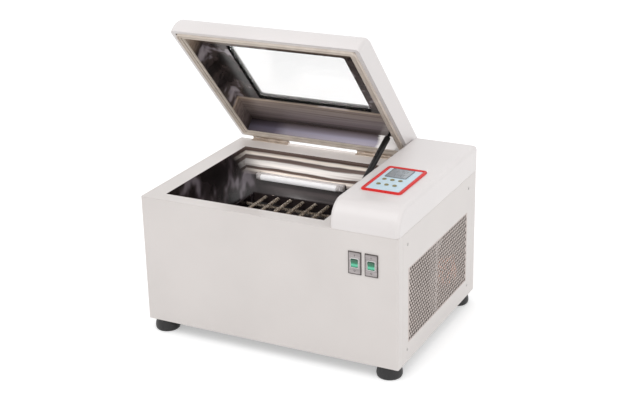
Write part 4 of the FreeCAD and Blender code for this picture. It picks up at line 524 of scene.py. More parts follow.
def rear_wall(tree, place, tone):
    """The pan's rear wall over the tone: painted reflection bands by height, painted shade at the left end,
    painted light at the right and a painted highlight near the right end.
    """
    parts = add_node(tree, "ShaderNodeSeparateXYZ", {"Vector": place}).outputs
    rise = share_of(tree, parts["Z"], liner_low[2], liner_high[2])
    bands = ramp_of(tree, rise, LINER_WALL_REFLECTIONS)
    along = share_of(tree, parts["X"], pan_low[0], pan_high[0])
    wavy = add_node(tree, "ShaderNodeMath", {
        0: long_noise(tree, place, (4, 4, 60)), 1: 0.05, 2: along,
    }, operation="MULTIPLY_ADD").outputs[0]
    wall = mixed_colour(tree, 1.0, bands, ramp_of(tree, wavy, LINER_SHADE), "MULTIPLY")
    # A painted highlight: a white patch near the right end of the rear wall.
    wall = mixed_colour(tree, share_of(tree, wavy, 0.86, 0.88), wall, colour(252, 248, 246))
    face = pan_high[1] - LINER_SHEET
    return mixed_colour(tree, share_of(tree, parts["Y"], face - 1 * MM, face - 0.5 * MM), tone, wall)


lid_steel = steel_with_painted_reflections(
    "lid_steel", "Y", (liner_low[1], liner_high[1]), LID_REFLECTION_BANDS, lid_axes, 5 * MM,
    (2.5, 110, 60), beside_window, REFLECTION_MOTTLES, rear_wall)
print("banded steel for the tub and the lid")

# %% [markdown]
# ## Glass and lit rockers
# The window is clear glass: light passes, and at a flat angle it mirrors. Its shadow is let
# through, so the chamber stays lit under the closed lid. The rockers are translucent green, lit from
# a lamp behind their lower half; that glow is painted into the green, which brightens downwards.

# %% Glass and rockers
glass, tree, shader = new_material("clear_glass")
shader.inputs["Base Color"].default_value = (1, 1, 1, 1)
shader.inputs["Roughness"].default_value = 0.0
shader.inputs["IOR"].default_value = 1.2
shader.inputs["Transmission Weight"].default_value = 1
shadow = add_node(tree, "ShaderNodeLightPath").outputs["Is Shadow Ray"]
through = add_node(tree, "ShaderNodeMapRange", {"Value": shadow, "To Min": 0.12, "To Max": 0.04})
tree.links.new(through.outputs["Result"], shader.inputs["Alpha"])
finishes["clear_glass"] = glass

rocker_low, rocker_high = corners("rocker_power")
# Painted glow of the lamp behind the rocker: brightest low down, darkest at the top.
ROCKER_GREENS_PAINTED_GLOW = painted([(0.0, 40, 150, 112), (0.3, 96, 206, 168), (0.5, 14, 124, 86), (1.0, 0, 70, 48)])
rocker, tree, shader = new_material("rocker_green")
height = add_node(tree, "ShaderNodeSeparateXYZ", {"Vector": own_place(tree)}).outputs["Z"]
rise = share_of(tree, height, rocker_low[2], rocker_high[2])
tree.links.new(ramp_of(tree, rise, ROCKER_GREENS_PAINTED_GLOW), shader.inputs["Base Color"])
shader.inputs["Roughness"].default_value = 0.25
shader.inputs["Coat Weight"].default_value = 0.4
finishes["rocker_green"] = rocker

for name, node in nodes.items():
    node.data.materials.clear()
    node.data.materials.append(finishes[slot_of[name]])
# The lid liner takes the steel with painted reflections, and the vent grille the white paint darkened as painted
# shade.
for name, material in {
    "lid_liner": lid_steel, "hinge_lower_leaves": finishes["hinge_brass"],
    "hinge_upper_leaves": finishes["hinge_brass"], "vent_grille": finishes["grille_paint"],
}.items():
    nodes[name].data.materials[0] = material
print(len(finishes), "finishes on", len(nodes), "nodes")

# %% [markdown]
# ## Rounded sheet metal
# A folded and painted sheet has no sharp edge: the paint rounds it, and that edge catches the
# light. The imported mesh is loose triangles, so a copy is merged first. Flat neighbours are then
# joined, a bevel rounds what is sharper than 35 degrees, and weighted normals keep the flats flat.

# %% Copies of nodes with rounded edges
SHARP = math.radians(35)
MERGE = 0.02 * MM
FLAT = math.radians(0.5)


def ride_with(piece, node):
    """The piece rides on the node's body."""
    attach(piece, body_of[node])
    return piece


def stand_for(piece, node):
    """The piece also takes the node's place."""
    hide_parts(node)
    return ride_with(piece, node)


def softened(name, width):
    """Copy of a node with its sharp edges rounded, which then stands for it."""
    mesh = nodes[name].data.copy()
    mesh.name = f"{name}_rounded"
    work = bmesh.new()
    work.from_mesh(mesh)
    bmesh.ops.remove_doubles(work, verts=work.verts, dist=MERGE)
    if width:
        bmesh.ops.dissolve_limit(work, angle_limit=FLAT, verts=work.verts, edges=work.edges)
    work.to_mesh(mesh)
    work.free()
    mesh.shade_smooth()
    mesh.set_sharp_from_angle(angle=SHARP)
    piece = bpy.data.objects.new(f"{name}_rounded", mesh)
    scene.collection.objects.link(piece)
    if width:
        bevel = piece.modifiers.new("rounding", "BEVEL")
        bevel.width = width
        bevel.segments = 2
        bevel.limit_method = "ANGLE"
        bevel.angle_limit = SHARP
    shading = piece.modifiers.new("shading", "WEIGHTED_NORMAL")
    shading.keep_sharp = True
    return stand_for(piece, name)


ROUNDED = {
    "front_panel": 0.5, "rear_panel": 0.5, "left_panel": 0.4, "right_panel": 0.4, "top_deck": 0.6,
    "control_housing": 0.4, "lid_shell": 0.4, "keypad_plate": 0.3, "lcd_window": 0.3,
    "rack_frame": 0.6, "platform_tray": 0.5, "platform_carrier": 0.8, "duct_cover": 0.4,
    "power_inlet": 0.4, "compressor": 2.0, "hinge_lower_leaves": 0.3,
    "hinge_upper_leaves": 0.3, "chamber_insulation": 4.0, "switch_frames": 0.4,
    "rocker_power": 0.5, "rocker_light": 0.5, "control_board": 0.2, "base_pan": 0.4,
    "bulkhead": 0.2, "shaker_motor": 0.8, "motor_pulley": 0.3, "bearing_housings": 0.6,
    "drive_crank": 0.4, "idler_crank_1": 0.4, "idler_crank_2": 0.4, "idler_crank_3": 0.4,
    "fan_motors": 0.5, "condenser_fan": 0.3, "circulation_fan": 0.3, "chamber_tub": 0.0,
    "lid_liner": 0.3, "heater_element": 0.0, "strut_lower_stud": 0.3, "strut_upper_stud": 0.3,
    "vent_grille": 0.0, **{f"key_{number}": 0.3 for number in range(1, 7)},
}
rounded = {name: softened(name, width * MM) for name, width in ROUNDED.items()}
print(len(rounded), "nodes with rounded edges")

# %% [markdown]
# ## Surfaces from arrays
# The new pieces are grids of points that numpy works out in one go. A grid wraps round where its
# surface closes, and a cap closes each open end.


# %% Grids and loops
def grid_faces(rows, columns, wrap_rows):
    """Quads between neighbouring points of a grid, with the last column joined to the first, and
    the last row too where asked."""
    row = np.arange(rows if wrap_rows else rows - 1)[:, None]
    column = np.arange(columns)[None, :]
    next_row, next_column = (row + 1) % rows, (column + 1) % columns
    quads = np.stack([
        row * columns + column, next_row * columns + column,
        next_row * columns + next_column, row * columns + next_column,
    ], axis=-1)
    return quads.reshape(-1, 4)


def new_piece(name, points, faces, material):
    """Mesh object from an array of points and a list of faces."""
    mesh = bpy.data.meshes.new(name)
    mesh.from_pydata(np.asarray(points).reshape(-1, 3).tolist(), [], [list(face) for face in faces])
    mesh.materials.append(material)
    work = bmesh.new()
    work.from_mesh(mesh)
    bmesh.ops.remove_doubles(work, verts=work.verts, dist=0.001 * MM)
    bmesh.ops.recalc_face_normals(work, faces=work.faces)
    work.to_mesh(mesh)
    work.free()
    mesh.shade_smooth()
    mesh.set_sharp_from_angle(angle=SHARP)
    piece = bpy.data.objects.new(name, mesh)
    scene.collection.objects.link(piece)
    return piece


def grid_piece(name, grids, finish_name, wrap_rows=False):
    """One piece of several equal grids (grids, rows, columns, 3). Columns close into rings. Rows close
    too where asked, and otherwise caps close the first and last."""
    grids = np.asarray(grids)
    grids = grids[None] if grids.ndim == 3 else grids
    count, rows, columns = grids.shape[:3]
    quads = grid_faces(rows, columns, wrap_rows)
    starts = np.arange(count)[:, None, None] * rows * columns
    faces = list(map(tuple, (quads[None] + starts).reshape(-1, 4)))
    if not wrap_rows:
        ring = np.arange(columns)
        for start in starts.ravel():
            faces.append(tuple(start + ring))
            faces.append(tuple(start + (rows - 1) * columns + ring[::-1]))
    return new_piece(name, grids, faces, finishes[finish_name])


def rounded_loop(low, high, radius, steps=6):
    """Points and outward directions round a rectangle with round corners: a quarter circle of the
    radius about each of the four corner centres, one after the other."""
    quarter = np.linspace(0, math.pi / 2, steps)
    angles = (quarter[None] + np.arange(4)[:, None] * math.pi / 2).ravel()
    outward = np.stack([np.cos(angles), np.sin(angles)], axis=-1)
    right, top = high[0] - radius, high[1] - radius
    left, bottom = low[0] + radius, low[1] + radius
    centres = np.repeat([[right, top], [left, top], [left, bottom], [right, bottom]], steps, axis=0)
    return centres + radius * outward, outward


def loop_band(low, high, radius, section, level, steps=6):
    """Grid of a section carried round a rounded rectangle: a point of the section at (a, b) goes a
    outwards from the loop and b up from the level."""
    loop, outward = rounded_loop(low, high, radius, steps)
    section = np.asarray(section)
    flat = loop[:, None] + outward[:, None] * section[None, :, :1]
    height = np.broadcast_to(level + section[None, :, 1:], flat.shape[:2] + (1,))
    return np.concatenate([flat, height], axis=-1)


def stacked_loops(rows, steps=6):
    """Grid of one rounded rectangle per row, from its two corners, its radius and its level."""
    return np.stack([
        np.column_stack([rounded_loop(low, high, radius, steps)[0], np.full(4 * steps, level)])
        for low, high, radius, level in rows
    ])


def turned_about(profile, start, axis, steps=32):
    """Grid of a profile turned once about an axis: a point (radius, distance) of the profile goes the
    distance along the axis from the start, and the radius away from it, all the way round."""
    axis = np.asarray(axis, float) / np.linalg.norm(axis)
    side = np.cross(axis, [0.0, 0.0, 1.0] if abs(axis[2]) < 0.9 else [0.0, 1.0, 0.0])
    side /= np.linalg.norm(side)
    up = np.cross(axis, side)
    angles = np.arange(steps) * 2 * math.pi / steps
    around = np.cos(angles)[:, None] * side + np.sin(angles)[:, None] * up
    profile = np.asarray(profile)
    return np.asarray(start) + profile[:, None, 1:] * axis + profile[:, None, :1] * around[None]


def tube_grid(path, radius, sides=12):
    """Grid of a round tube along a path: about each point a circle of the radius, square to the
    path. The circle's first axis is square to the path and to the normal of the plane that fits the
    path best."""
    path = np.asarray(path, float)
    ahead = np.gradient(path, axis=0)
    ahead /= np.linalg.norm(ahead, axis=1, keepdims=True)
    spread = np.linalg.svd(path - path.mean(axis=0))[2][2]
    side = np.cross(ahead, spread)
    side /= np.linalg.norm(side, axis=1, keepdims=True)
    up = np.cross(side, ahead)
    angles = np.arange(sides) * 2 * math.pi / sides
    circle = (side[:, None] * np.cos(angles)[None, :, None] + up[:, None] * np.sin(angles)[None, :, None])
    return path[:, None] + circle * radius


# %% [markdown]
# ## Feet
# Each foot is a moulded rubber pad that narrows upwards. It is a turned shape: a profile of radius
# and height goes once round the foot's axis, and the four feet are four copies of one grid.

# %% Feet
feet_low, feet_high = corners("rubber_feet")
foot_radius = 34 * MM
foot_height = feet_high[2] - feet_low[2]
foot_profile = np.array([
    (0.0, 0.0), (0.84, 0.0), (0.9, 0.02), (0.96, 0.08), (0.99, 0.18), (1.0, 0.3), (0.985, 0.44),
    (0.95, 0.58), (0.9, 0.72), (0.85, 0.86), (0.82, 1.0), (0.0, 1.0),
]) * (foot_radius, foot_height)
one_foot = turned_about(foot_profile, (0, 0, 0), (0, 0, 1), 40)
foot_places = np.array([
    (x, y, feet_low[2])
    for x in (feet_low[0] + foot_radius, feet_high[0] - foot_radius)
    for y in (feet_low[1] + foot_radius, feet_high[1] - foot_radius)
])
feet = grid_piece("feet", one_foot[None] + foot_places[:, None, None], "black_rubber")
stand_for(feet, "rubber_feet")
print("four feet of", round(2000 * foot_radius), "mm")

# %% [markdown]
# ## Rack springs
# The platform carries a grid of stretched coil springs that hold flasks between them. A spring is
# a helix: the wire's centre goes round the spring's axis while it moves along it. A ring of a few
# points about that centre gives the wire its thickness. All springs of one direction are one
# array, so there is no loop over their turns.

# %% Rack springs
SPRING_PITCH = 3.6 * MM
SPRING_WIRE = 0.75 * MM
TURN_STEPS = 12
WIRE_SIDES = 5
rack_low, rack_high = corners("rack_springs")
spring_radius = 5 * MM
ALONG_X, ALONG_Y = 7, 9


def spring_grids(starts, axis, length):
    """Springs along one axis, from an array of start points."""
    across = np.eye(3)[1 - axis]
    up = np.array([0, 0, 1.0])
    turns = round(length / SPRING_PITCH)
    angle = np.linspace(0, turns * 2 * math.pi, turns * TURN_STEPS + 1)
    ring = np.arange(WIRE_SIDES) * 2 * math.pi / WIRE_SIDES
    outward = np.cos(angle)[:, None] * across + np.sin(angle)[:, None] * up
    forward = np.eye(3)[axis]
    mean_radius = spring_radius - SPRING_WIRE
    inset = np.linspace(SPRING_WIRE, length - SPRING_WIRE, len(angle))
    centre = forward * inset[:, None] + outward * mean_radius
    wire = outward[:, None] * np.cos(ring)[None, :, None] + forward * np.sin(ring)[None, :, None]
    one = centre[:, None] + wire * SPRING_WIRE
    return starts[:, None, None] + one[None]


def evenly(low, high, count):
    """Places that divide a span into equal gaps."""
    return low + (high - low) * np.arange(1, count + 1) / (count + 1)


x_axis_y = evenly(rack_low[1], rack_high[1], ALONG_X)
y_axis_x = evenly(rack_low[0], rack_high[0], ALONG_Y)
low_level, high_level = rack_low[2] + spring_radius, rack_high[2] - spring_radius
x_starts = np.array([(rack_low[0], y, low_level) for y in x_axis_y])
y_starts = np.array([(x, rack_low[1], high_level) for x in y_axis_x])
springs_across = grid_piece(
    "springs_across", spring_grids(x_starts, 0, rack_high[0] - rack_low[0]), "spring_steel")
springs_along = grid_piece(
    "springs_along", spring_grids(y_starts, 1, rack_high[1] - rack_low[1]), "spring_steel")
for piece in (springs_across, springs_along):
    stand_for(piece, "rack_springs")
    print(piece.name, len(piece.data.polygons), "faces")

# %% [markdown]
# ## Bands round corners: bezel, seals and gasket
# A bezel, a door seal and a window gasket are all one section carried round a rectangle with round
# corners. Only the section differs. The lid's bands are laid out with the lid closed, where they
# are level, and then turned up with it.

# %% Bezel, seals and gasket
bezel_low, bezel_high = corners("control_bezel")
BEZEL_BAND = 9 * MM
BEZEL_CORNER = 10 * MM
bezel_section = np.array([
    (0.0, 0.0), (0.0, 0.45), (-0.08, 0.78), (-0.26, 0.97), (-0.5, 1.0), (-0.76, 0.95), (-0.93, 0.72),
    (-1.0, 0.4), (-1.0, 0.0),
]) * (BEZEL_BAND, bezel_high[2] - bezel_low[2])
bezel = grid_piece(
    "bezel_band", loop_band(bezel_low, bezel_high, BEZEL_CORNER, bezel_section, bezel_low[2], 9),
    "red_plastic", wrap_rows=True)
stand_for(bezel, "control_bezel")

seal_low, seal_high = closed_corners("lid_seal")
SEAL_WIDTH = 12 * MM
SEAL_CORNER = 13 * MM
INNER_CORNER = 8 * MM
INNER_SEAL_INSET = 13 * MM
INNER_SEAL_WIDTH = 6 * MM
INNER_SEAL_DROP = 4 * MM
double_bead = np.array([
    (0.0, 0.0), (0.0, -0.5), (-0.06, -0.84), (-0.2, -1.0), (-0.34, -0.92), (-0.44, -0.6), (-0.5, -0.42),
    (-0.56, -0.6), (-0.66, -0.92), (-0.8, -1.0), (-0.94, -0.84), (-1.0, -0.5), (-1.0, 0.0),
])
single_bead = np.array([
    (0.0, 0.0), (0.0, -0.45), (-0.15, -0.85), (-0.5, -1.0), (-0.85, -0.85), (-1.0, -0.45), (-1.0, 0.0),
])
seal_depth = seal_high[2] - seal_low[2]
outer_band = loop_band(
    seal_low, seal_high, SEAL_CORNER, double_bead * (SEAL_WIDTH, seal_depth), seal_high[2], 9)
inner_band = loop_band(
    seal_low + INNER_SEAL_INSET, seal_high - INNER_SEAL_INSET, INNER_CORNER,
    single_bead * (INNER_SEAL_WIDTH, INNER_SEAL_DROP), seal_high[2], 9)
for name, band in {"outer_seal": outer_band, "inner_seal": inner_band}.items():
    seal = grid_piece(name, about_hinge(band, -LID_ANGLE), "seal_rubber", wrap_rows=True)
    stand_for(seal, "lid_seal")

gasket_low, gasket_high = closed_corners("window_gasket")
GASKET_WIDTH = 15 * MM
gasket_depth = gasket_high[2] - gasket_low[2]
lip = 3 * MM
gasket_section = np.array([
    (GASKET_WIDTH, 0), (GASKET_WIDTH, gasket_depth), (lip, gasket_depth),
    (lip / 4, gasket_depth - lip / 4), (0, gasket_depth - lip), (lip / 3, gasket_depth / 2),
    (0, lip), (lip / 4, lip / 4), (lip, 0),
])
gasket_band = loop_band(
    gasket_low + GASKET_WIDTH, gasket_high - GASKET_WIDTH, INNER_CORNER, gasket_section, gasket_low[2], 7)
gasket = grid_piece(
    "window_gasket_band", about_hinge(gasket_band, -LID_ANGLE), "gasket_rubber", wrap_rows=True)
stand_for(gasket, "window_gasket")
print("bezel, two seal bands and a window gasket")

# %% [markdown]
# ## Drive belt
# The belt is a flat band with five ribs on its inner side that sit in the grooves of both pulleys.
# Its line is two arcs joined by the two straight runs that touch both circles. The arcs end where
# the cosine of their angle is the difference of the radii over the distance of the shafts.

# %% Drive belt
belt_low, belt_high = corners("drive_belt")
main_shaft = np.array(joint_of["drive_spin"]["pos_m"])[:2]
motor_shaft = np.array(joint_of["motor_spin"]["pos_m"])[:2]
BELT = 3 * MM
BELT_RIBS = 5
RIB_DEPTH = 1.2 * MM
ARC_STEPS = [48, 24]
main_radius = main_shaft[0] - belt_low[0] - BELT
motor_radius = belt_high[0] - motor_shaft[0] - BELT
lean = math.acos((main_radius - motor_radius) / np.linalg.norm(motor_shaft - main_shaft))
main_arc = np.linspace(lean, 2 * math.pi - lean, ARC_STEPS[0])
motor_arc = np.linspace(-lean, lean, ARC_STEPS[1])
belt_angles = np.concatenate([main_arc, motor_arc])
belt_outward = np.stack([np.cos(belt_angles), np.sin(belt_angles)], axis=-1)
belt_line = belt_outward * np.repeat([main_radius, motor_radius], ARC_STEPS)[:, None]
belt_line += np.repeat([main_shaft, motor_shaft], ARC_STEPS, axis=0)
belt_height = belt_high[2] - belt_low[2]
rib_levels = np.linspace(belt_height, 0, 2 * BELT_RIBS + 1)
rib_depths = np.where(np.arange(2 * BELT_RIBS + 1) % 2 == 0, RIB_DEPTH, 0)
belt_section = np.concatenate([
    [(BELT, 0), (BELT, belt_height)], np.stack([rib_depths, rib_levels], axis=-1),
])
belt_grid = np.concatenate([
    belt_line[:, None] + belt_outward[:, None] * belt_section[None, :, :1],
    np.broadcast_to(belt_low[2] + belt_section[None, :, 1:], (len(belt_line), len(belt_section), 1)),
], axis=-1)
belt = grid_piece("ribbed_belt", belt_grid, "black_rubber", wrap_rows=True)
stand_for(belt, "drive_belt")
print("belt round pulleys of", round(main_radius / MM), "and", round(motor_radius / MM), "mm")

# %% [markdown]
# ## Cooling
# Behind the vent stand a condenser and a copper coil. A condenser is a stack of thin wavy fins
# pressed on one tube that runs to and fro through all of them, between two folded end plates, with
# a shroud on the fan's side. The coil is a helix.

# %% Condenser
block_low, block_high = corners("condenser_block")
FIN_SPAN = 176 * MM
FIN_HEIGHT = 217 * MM
FIN_DEPTH = 30 * MM
FIN_PITCH = 3.2 * MM
FIN_SHEET = 0.3 * MM
FIN_WAVE = 0.5 * MM
FIN_FOLDS = 7
SHROUD_DEPTH = 22 * MM
TUBE_ROWS = 6
TUBE_RADIUS = 4.8 * MM
TUBE_END = 12 * MM
PLATE_SHEET = 1.5 * MM
PLATE_FLANGE = 14 * MM
fin_front = block_low[1] + 12 * MM
fin_rear = fin_front + FIN_SPAN
fin_left = block_low[0] + SHROUD_DEPTH
fin_right = fin_left + FIN_DEPTH
fin_bottom = block_high[2] - FIN_HEIGHT

fin_x = np.linspace(fin_left, fin_right, FIN_FOLDS)
fin_wave = FIN_WAVE * np.cos(np.arange(FIN_FOLDS) * math.pi)
fin_outline = np.concatenate([
    np.stack([fin_x, fin_wave], axis=-1), np.stack([fin_x, fin_wave + FIN_SHEET], axis=-1)[::-1],
])
fin_places = np.arange(fin_front + FIN_PITCH, fin_rear, FIN_PITCH)
fins = np.empty((len(fin_places), 2, len(fin_outline), 3))
fins[..., 0] = fin_outline[:, 0]
fins[..., 1] = fin_places[:, None, None] + fin_outline[:, 1]
fins[..., 2] = np.array([fin_bottom, block_high[2]])[None, :, None]
# The fins are aluminium darkened as painted shade behind the vent.
condenser_fins = grid_piece("condenser_fins", fins, "fin_metal")

row_gap = FIN_HEIGHT / TUBE_ROWS
row_levels = fin_bottom + row_gap * (np.arange(TUBE_ROWS) + 0.5)
half_turn = np.linspace(0, math.pi, 9)
bend_rows = np.arange(TUBE_ROWS - 1)[:, None]
bend_way = np.where(bend_rows % 2 == 0, -1, 1)
bend_reach = 3 * MM + np.sin(half_turn) * row_gap / 2
bend_y = np.where(bend_way < 0, fin_front, fin_rear) + bend_way * bend_reach
bend_z = row_levels[bend_rows] + (1 - np.cos(half_turn)) * row_gap / 2
tube_y = np.concatenate([[fin_rear + TUBE_END], bend_y.ravel(), [fin_rear + TUBE_END]])
tube_z = np.concatenate([[row_levels[0]], bend_z.ravel(), [row_levels[-1]]])
tube_x = (fin_left + fin_right) / 2
tube_line = np.stack([np.full(len(tube_y), tube_x), tube_y, tube_z], axis=-1)
condenser_tube = grid_piece("condenser_tube", tube_grid(tube_line, TUBE_RADIUS), "copper")

plate_end = block_high[0]
folds = np.array([
    (fin_left, 0), (plate_end, 0), (plate_end, PLATE_FLANGE), (plate_end - PLATE_SHEET, PLATE_FLANGE),
    (plate_end - PLATE_SHEET, PLATE_SHEET), (fin_left, PLATE_SHEET),
])
plates = np.empty((2, 2, len(folds), 3))
plates[..., 0] = folds[:, 0]
plates[0, ..., 1] = fin_front - folds[:, 1]
plates[1, ..., 1] = fin_rear + folds[:, 1]
plates[..., 2] = np.array([block_low[2], block_high[2]])[None, :, None]
end_plates = grid_piece("condenser_plates", plates, "white_enamel_bright")
print(len(fin_places), "fins on", TUBE_ROWS, "rows of tube")

# %% [markdown]
# The shroud is a dish with a round mouth. Its rings of points change from the rectangle of the
# condenser to the circle of the fan: each point of the circle lies in the same direction from the
# middle as its partner on the rectangle.

# %% Fan shroud and coil post
shroud_middle = np.array([(fin_front + fin_rear) / 2, (fin_bottom + block_high[2]) / 2])
MOUTH_RADIUS = 78 * MM
shroud_low, shroud_high = np.array([fin_front, fin_bottom]), np.array([fin_rear, block_high[2]])
rim_loop = rounded_loop(shroud_low, shroud_high, 6 * MM, 10)[0]
rim_ways = rim_loop - shroud_middle
rim_ways /= np.linalg.norm(rim_ways, axis=1, keepdims=True)


def shroud_row(depth, radius=None, inset=0.0):
    """Ring of points at a depth from the fan's side: the rectangle's rim, or a circle of the radius."""
    flat = shroud_middle + rim_ways * radius if radius else rim_loop - rim_ways * inset
    return np.column_stack([np.full(len(flat), block_low[0] + depth), flat])


shroud_grid = np.stack([
    shroud_row(SHROUD_DEPTH), shroud_row(2 * MM), shroud_row(0.0, inset=2.5 * MM),
    shroud_row(0.0, MOUTH_RADIUS + 5 * MM), shroud_row(1 * MM, MOUTH_RADIUS + 1.5 * MM),
    shroud_row(5 * MM, MOUTH_RADIUS), shroud_row(10 * MM, MOUTH_RADIUS),
    shroud_row(10 * MM, MOUTH_RADIUS + 1.5 * MM), shroud_row(5 * MM, MOUTH_RADIUS + 1.5 * MM),
    shroud_row(1.5 * MM, MOUTH_RADIUS + 6 * MM), shroud_row(1.5 * MM, inset=4 * MM),
    shroud_row(SHROUD_DEPTH, inset=2 * MM),
])
shroud = grid_piece("fan_shroud", shroud_grid, "galvanised_steel", wrap_rows=True)

coil_low, coil_high = corners("capillary_coil")
COIL_TUBE = 3 * MM
COIL_TURNS = 3
COIL_STEPS = 36
coil_middle = (coil_low + coil_high) / 2
coil_radius = (coil_high[2] - coil_low[2]) / 2 - COIL_TUBE
POST_HALF = 6 * MM
post_low = np.array([coil_low[0], coil_middle[1] - POST_HALF])
post_high = np.array([coil_high[0], coil_middle[1] + POST_HALF])
post_top = coil_low[2] - 0.3 * MM
coil_post = grid_piece("coil_post", stacked_loops([
    (post_low, post_high, 2 * MM, block_low[2]),
    (post_low, post_high, 2 * MM, post_top - 1 * MM),
    (post_low + 1 * MM, post_high - 1 * MM, 1 * MM, post_top),
]), "galvanised_steel")
for piece, slot in {
    condenser_fins: "aluminium", condenser_tube: "copper", end_plates: "aluminium",
    shroud: "galvanised_steel", coil_post: "galvanised_steel",
}.items():
    stand_for(piece, "condenser_block")
print("shroud and coil post")

# %% [markdown]
# ## Copper lines
# The coil is a helix: its line goes round a level axis and a pitch along it with each turn. Bent
# lines join it to the condenser and, through a filter, to the compressor. A bent line goes smoothly
# through a few points by the Catmull-Rom formula, a cubic between each two neighbours whose slope
# at a point is half the step from the point before it to the point after it.


# %% Coil, filter and lines
def smooth_line(points, steps=10):
    """Smooth line through points, with Catmull-Rom cubics."""
    points = np.asarray(points, float)
    padded = np.concatenate([[2 * points[0] - points[1]], points, [2 * points[-1] - points[-2]]])
    place = np.linspace(0, len(points) - 1, steps * (len(points) - 1) + 1)
    first = np.minimum(place.astype(int), len(points) - 2)
    t = (place - first)[:, None]
    before, start, finish_point, after = (padded[first + offset] for offset in range(4))
    slope = (finish_point - before) / 2
    next_slope = (after - start) / 2
    rise = finish_point - start
    return start + slope * t + (3 * rise - 2 * slope - next_slope) * t ** 2 + (
        slope + next_slope - 2 * rise) * t ** 3


def points_from(start, *offsets):
    """Points at offsets in millimetres from a start."""
    return [start + np.array(offset) * MM for offset in offsets]


coil_angle = np.linspace(0, COIL_TURNS * 2 * math.pi, COIL_TURNS * COIL_STEPS + 1)
coil_run = coil_high[0] - coil_low[0] - 2 * COIL_TUBE
coil_line = np.stack([
    coil_low[0] + COIL_TUBE + coil_run * coil_angle / coil_angle[-1],
    coil_middle[1] + coil_radius * np.sin(coil_angle),
    coil_middle[2] + coil_radius * np.cos(coil_angle),
], axis=-1)
coil_start, coil_end = coil_line[0], coil_line[-1]
stub = np.array([0, 2 * COIL_TUBE, 0])
coil_line = np.concatenate([[coil_start - stub], coil_line, [coil_end + stub]])
copper_coil = grid_piece("copper_coil", tube_grid(coil_line, COIL_TUBE, 14), "copper")
stand_for(copper_coil, "capillary_coil")

tube_end = np.array([tube_x, fin_rear + TUBE_END, row_levels[3]])
filter_top = coil_end + np.array([-6, 56, -34]) * MM
FILTER_LENGTH = 62 * MM
filter_bottom = filter_top - (0, 0, FILTER_LENGTH)
lines = {
    "coil_feed": [
        *points_from(tube_end, (0, -24, 60), (0, 8, 60), (-2, 34, 40), (-10, 80, 12)),
        *points_from(coil_start - 5 * stub, (0, 0, 2)), coil_start - stub,
    ],
    "filter_feed": [
        coil_end + stub, *points_from(coil_end, (-1, 34, -2)), *points_from(filter_top, (1, -3, 14)),
        filter_top,
    ],
    "compressor_feed": points_from(
        filter_bottom, (0, 0, 0), (0, 0, -12), (-14, -8, -26), (-46, -22, -26)),
}
for name, points in lines.items():
    line = grid_piece(name, tube_grid(smooth_line(points), COIL_TUBE, 12), "copper")
    ride_with(line, "capillary_coil")
filter_profile = np.array([
    (0, 0), (3.6, 0), (3.6, 5), (6, 8), (9, 12), (9, 50), (6, 54), (3.6, 57), (3.6, 62), (0, 62),
]) * MM
filter_dryer = grid_piece(
    "filter_dryer", turned_about(filter_profile, filter_bottom, (0, 0, 1), 28), "copper")
ride_with(filter_dryer, "capillary_coil")

SUCTION_RADIUS = 8 * MM
compressor_low, compressor_high = corners("compressor")
compressor_middle = (compressor_low + compressor_high) / 2
compressor_top = np.array([*compressor_middle[:2], compressor_high[2]])
suction_points = points_from(
    compressor_top + np.array([16, -14, -6]) * MM, (0, 0, 0), (0, 0, 26), (22, -8, 56), (62, -30, 66),
    (78, -74, 52), (60, -108, 62), (18, -118, 66), (-30, -118, 66))
suction_points.append((compressor_low[0] - 5 * MM, *suction_points[-1][1:]))
suction_line = grid_piece(
    "suction_line", tube_grid(smooth_line(suction_points), SUCTION_RADIUS, 18), "pipe_foam")
ride_with(suction_line, "capillary_coil")
print("coil of", round(2 * coil_radius / MM), "mm and", len(lines) + 1, "lines")

# %% [markdown]
# ## Screws
# The side panels are held by domed screws with a cross recess. The head is a dome over rings of
# points. Where a point lies within half the recess's width of one of the two arms, and inside the
# arms' length, it is pushed in.


# %% Screws
def screw_grids(places, outward, radius, height, rings=13, steps=48):
    """Domed heads: height falls off with the square of the radius, less the depth of the cross."""
    outward = np.asarray(outward, float)
    side = np.cross(outward, [0.0, 0.0, 1.0] if abs(outward[2]) < 0.9 else [0.0, 1.0, 0.0])
    up = np.cross(outward, side)
    reach = np.linspace(0, 1, rings)[:, None]
    angle = (np.arange(steps) * 2 * math.pi / steps)[None]
    along, across = reach * np.cos(angle), reach * np.sin(angle)
    dome = 1 - 0.55 * reach ** 2
    nearest = np.minimum(np.abs(along), np.abs(across))
    recess = np.clip((0.2 - nearest) / 0.06, 0, 1) * np.clip((0.62 - reach) / 0.08, 0, 1)
    level = height * (dome - 0.5 * recess)
    along = np.concatenate([along, along[-1:]]) * radius
    across = np.concatenate([across, across[-1:]]) * radius
    level = np.concatenate([level, np.zeros((1, steps))])
    head = along[..., None] * side + across[..., None] * up + level[..., None] * outward
    return np.asarray(places)[:, None, None] + head[None]


screw_low, screw_high = corners("panel_screws")
HEAD_RADIUS = 4 * MM
HEAD_HEIGHT = 1.6 * MM
panel_right, panel_left = corners("right_panel")[1][0], corners("left_panel")[0][0]
screw_spots = [
    (y, z) for y in (screw_low[1] + HEAD_RADIUS, screw_high[1] - HEAD_RADIUS)
    for z in (screw_low[2] + HEAD_RADIUS, screw_high[2] - HEAD_RADIUS)
]
heads = np.concatenate([
    screw_grids([(panel_right, y, z) for y, z in screw_spots], (1, 0, 0), HEAD_RADIUS, HEAD_HEIGHT),
    screw_grids([(panel_left, y, z) for y, z in screw_spots], (-1, 0, 0), HEAD_RADIUS, HEAD_HEIGHT),
])
screws = grid_piece("cross_screws", heads, "zinc_screw")
stand_for(screws, "panel_screws")

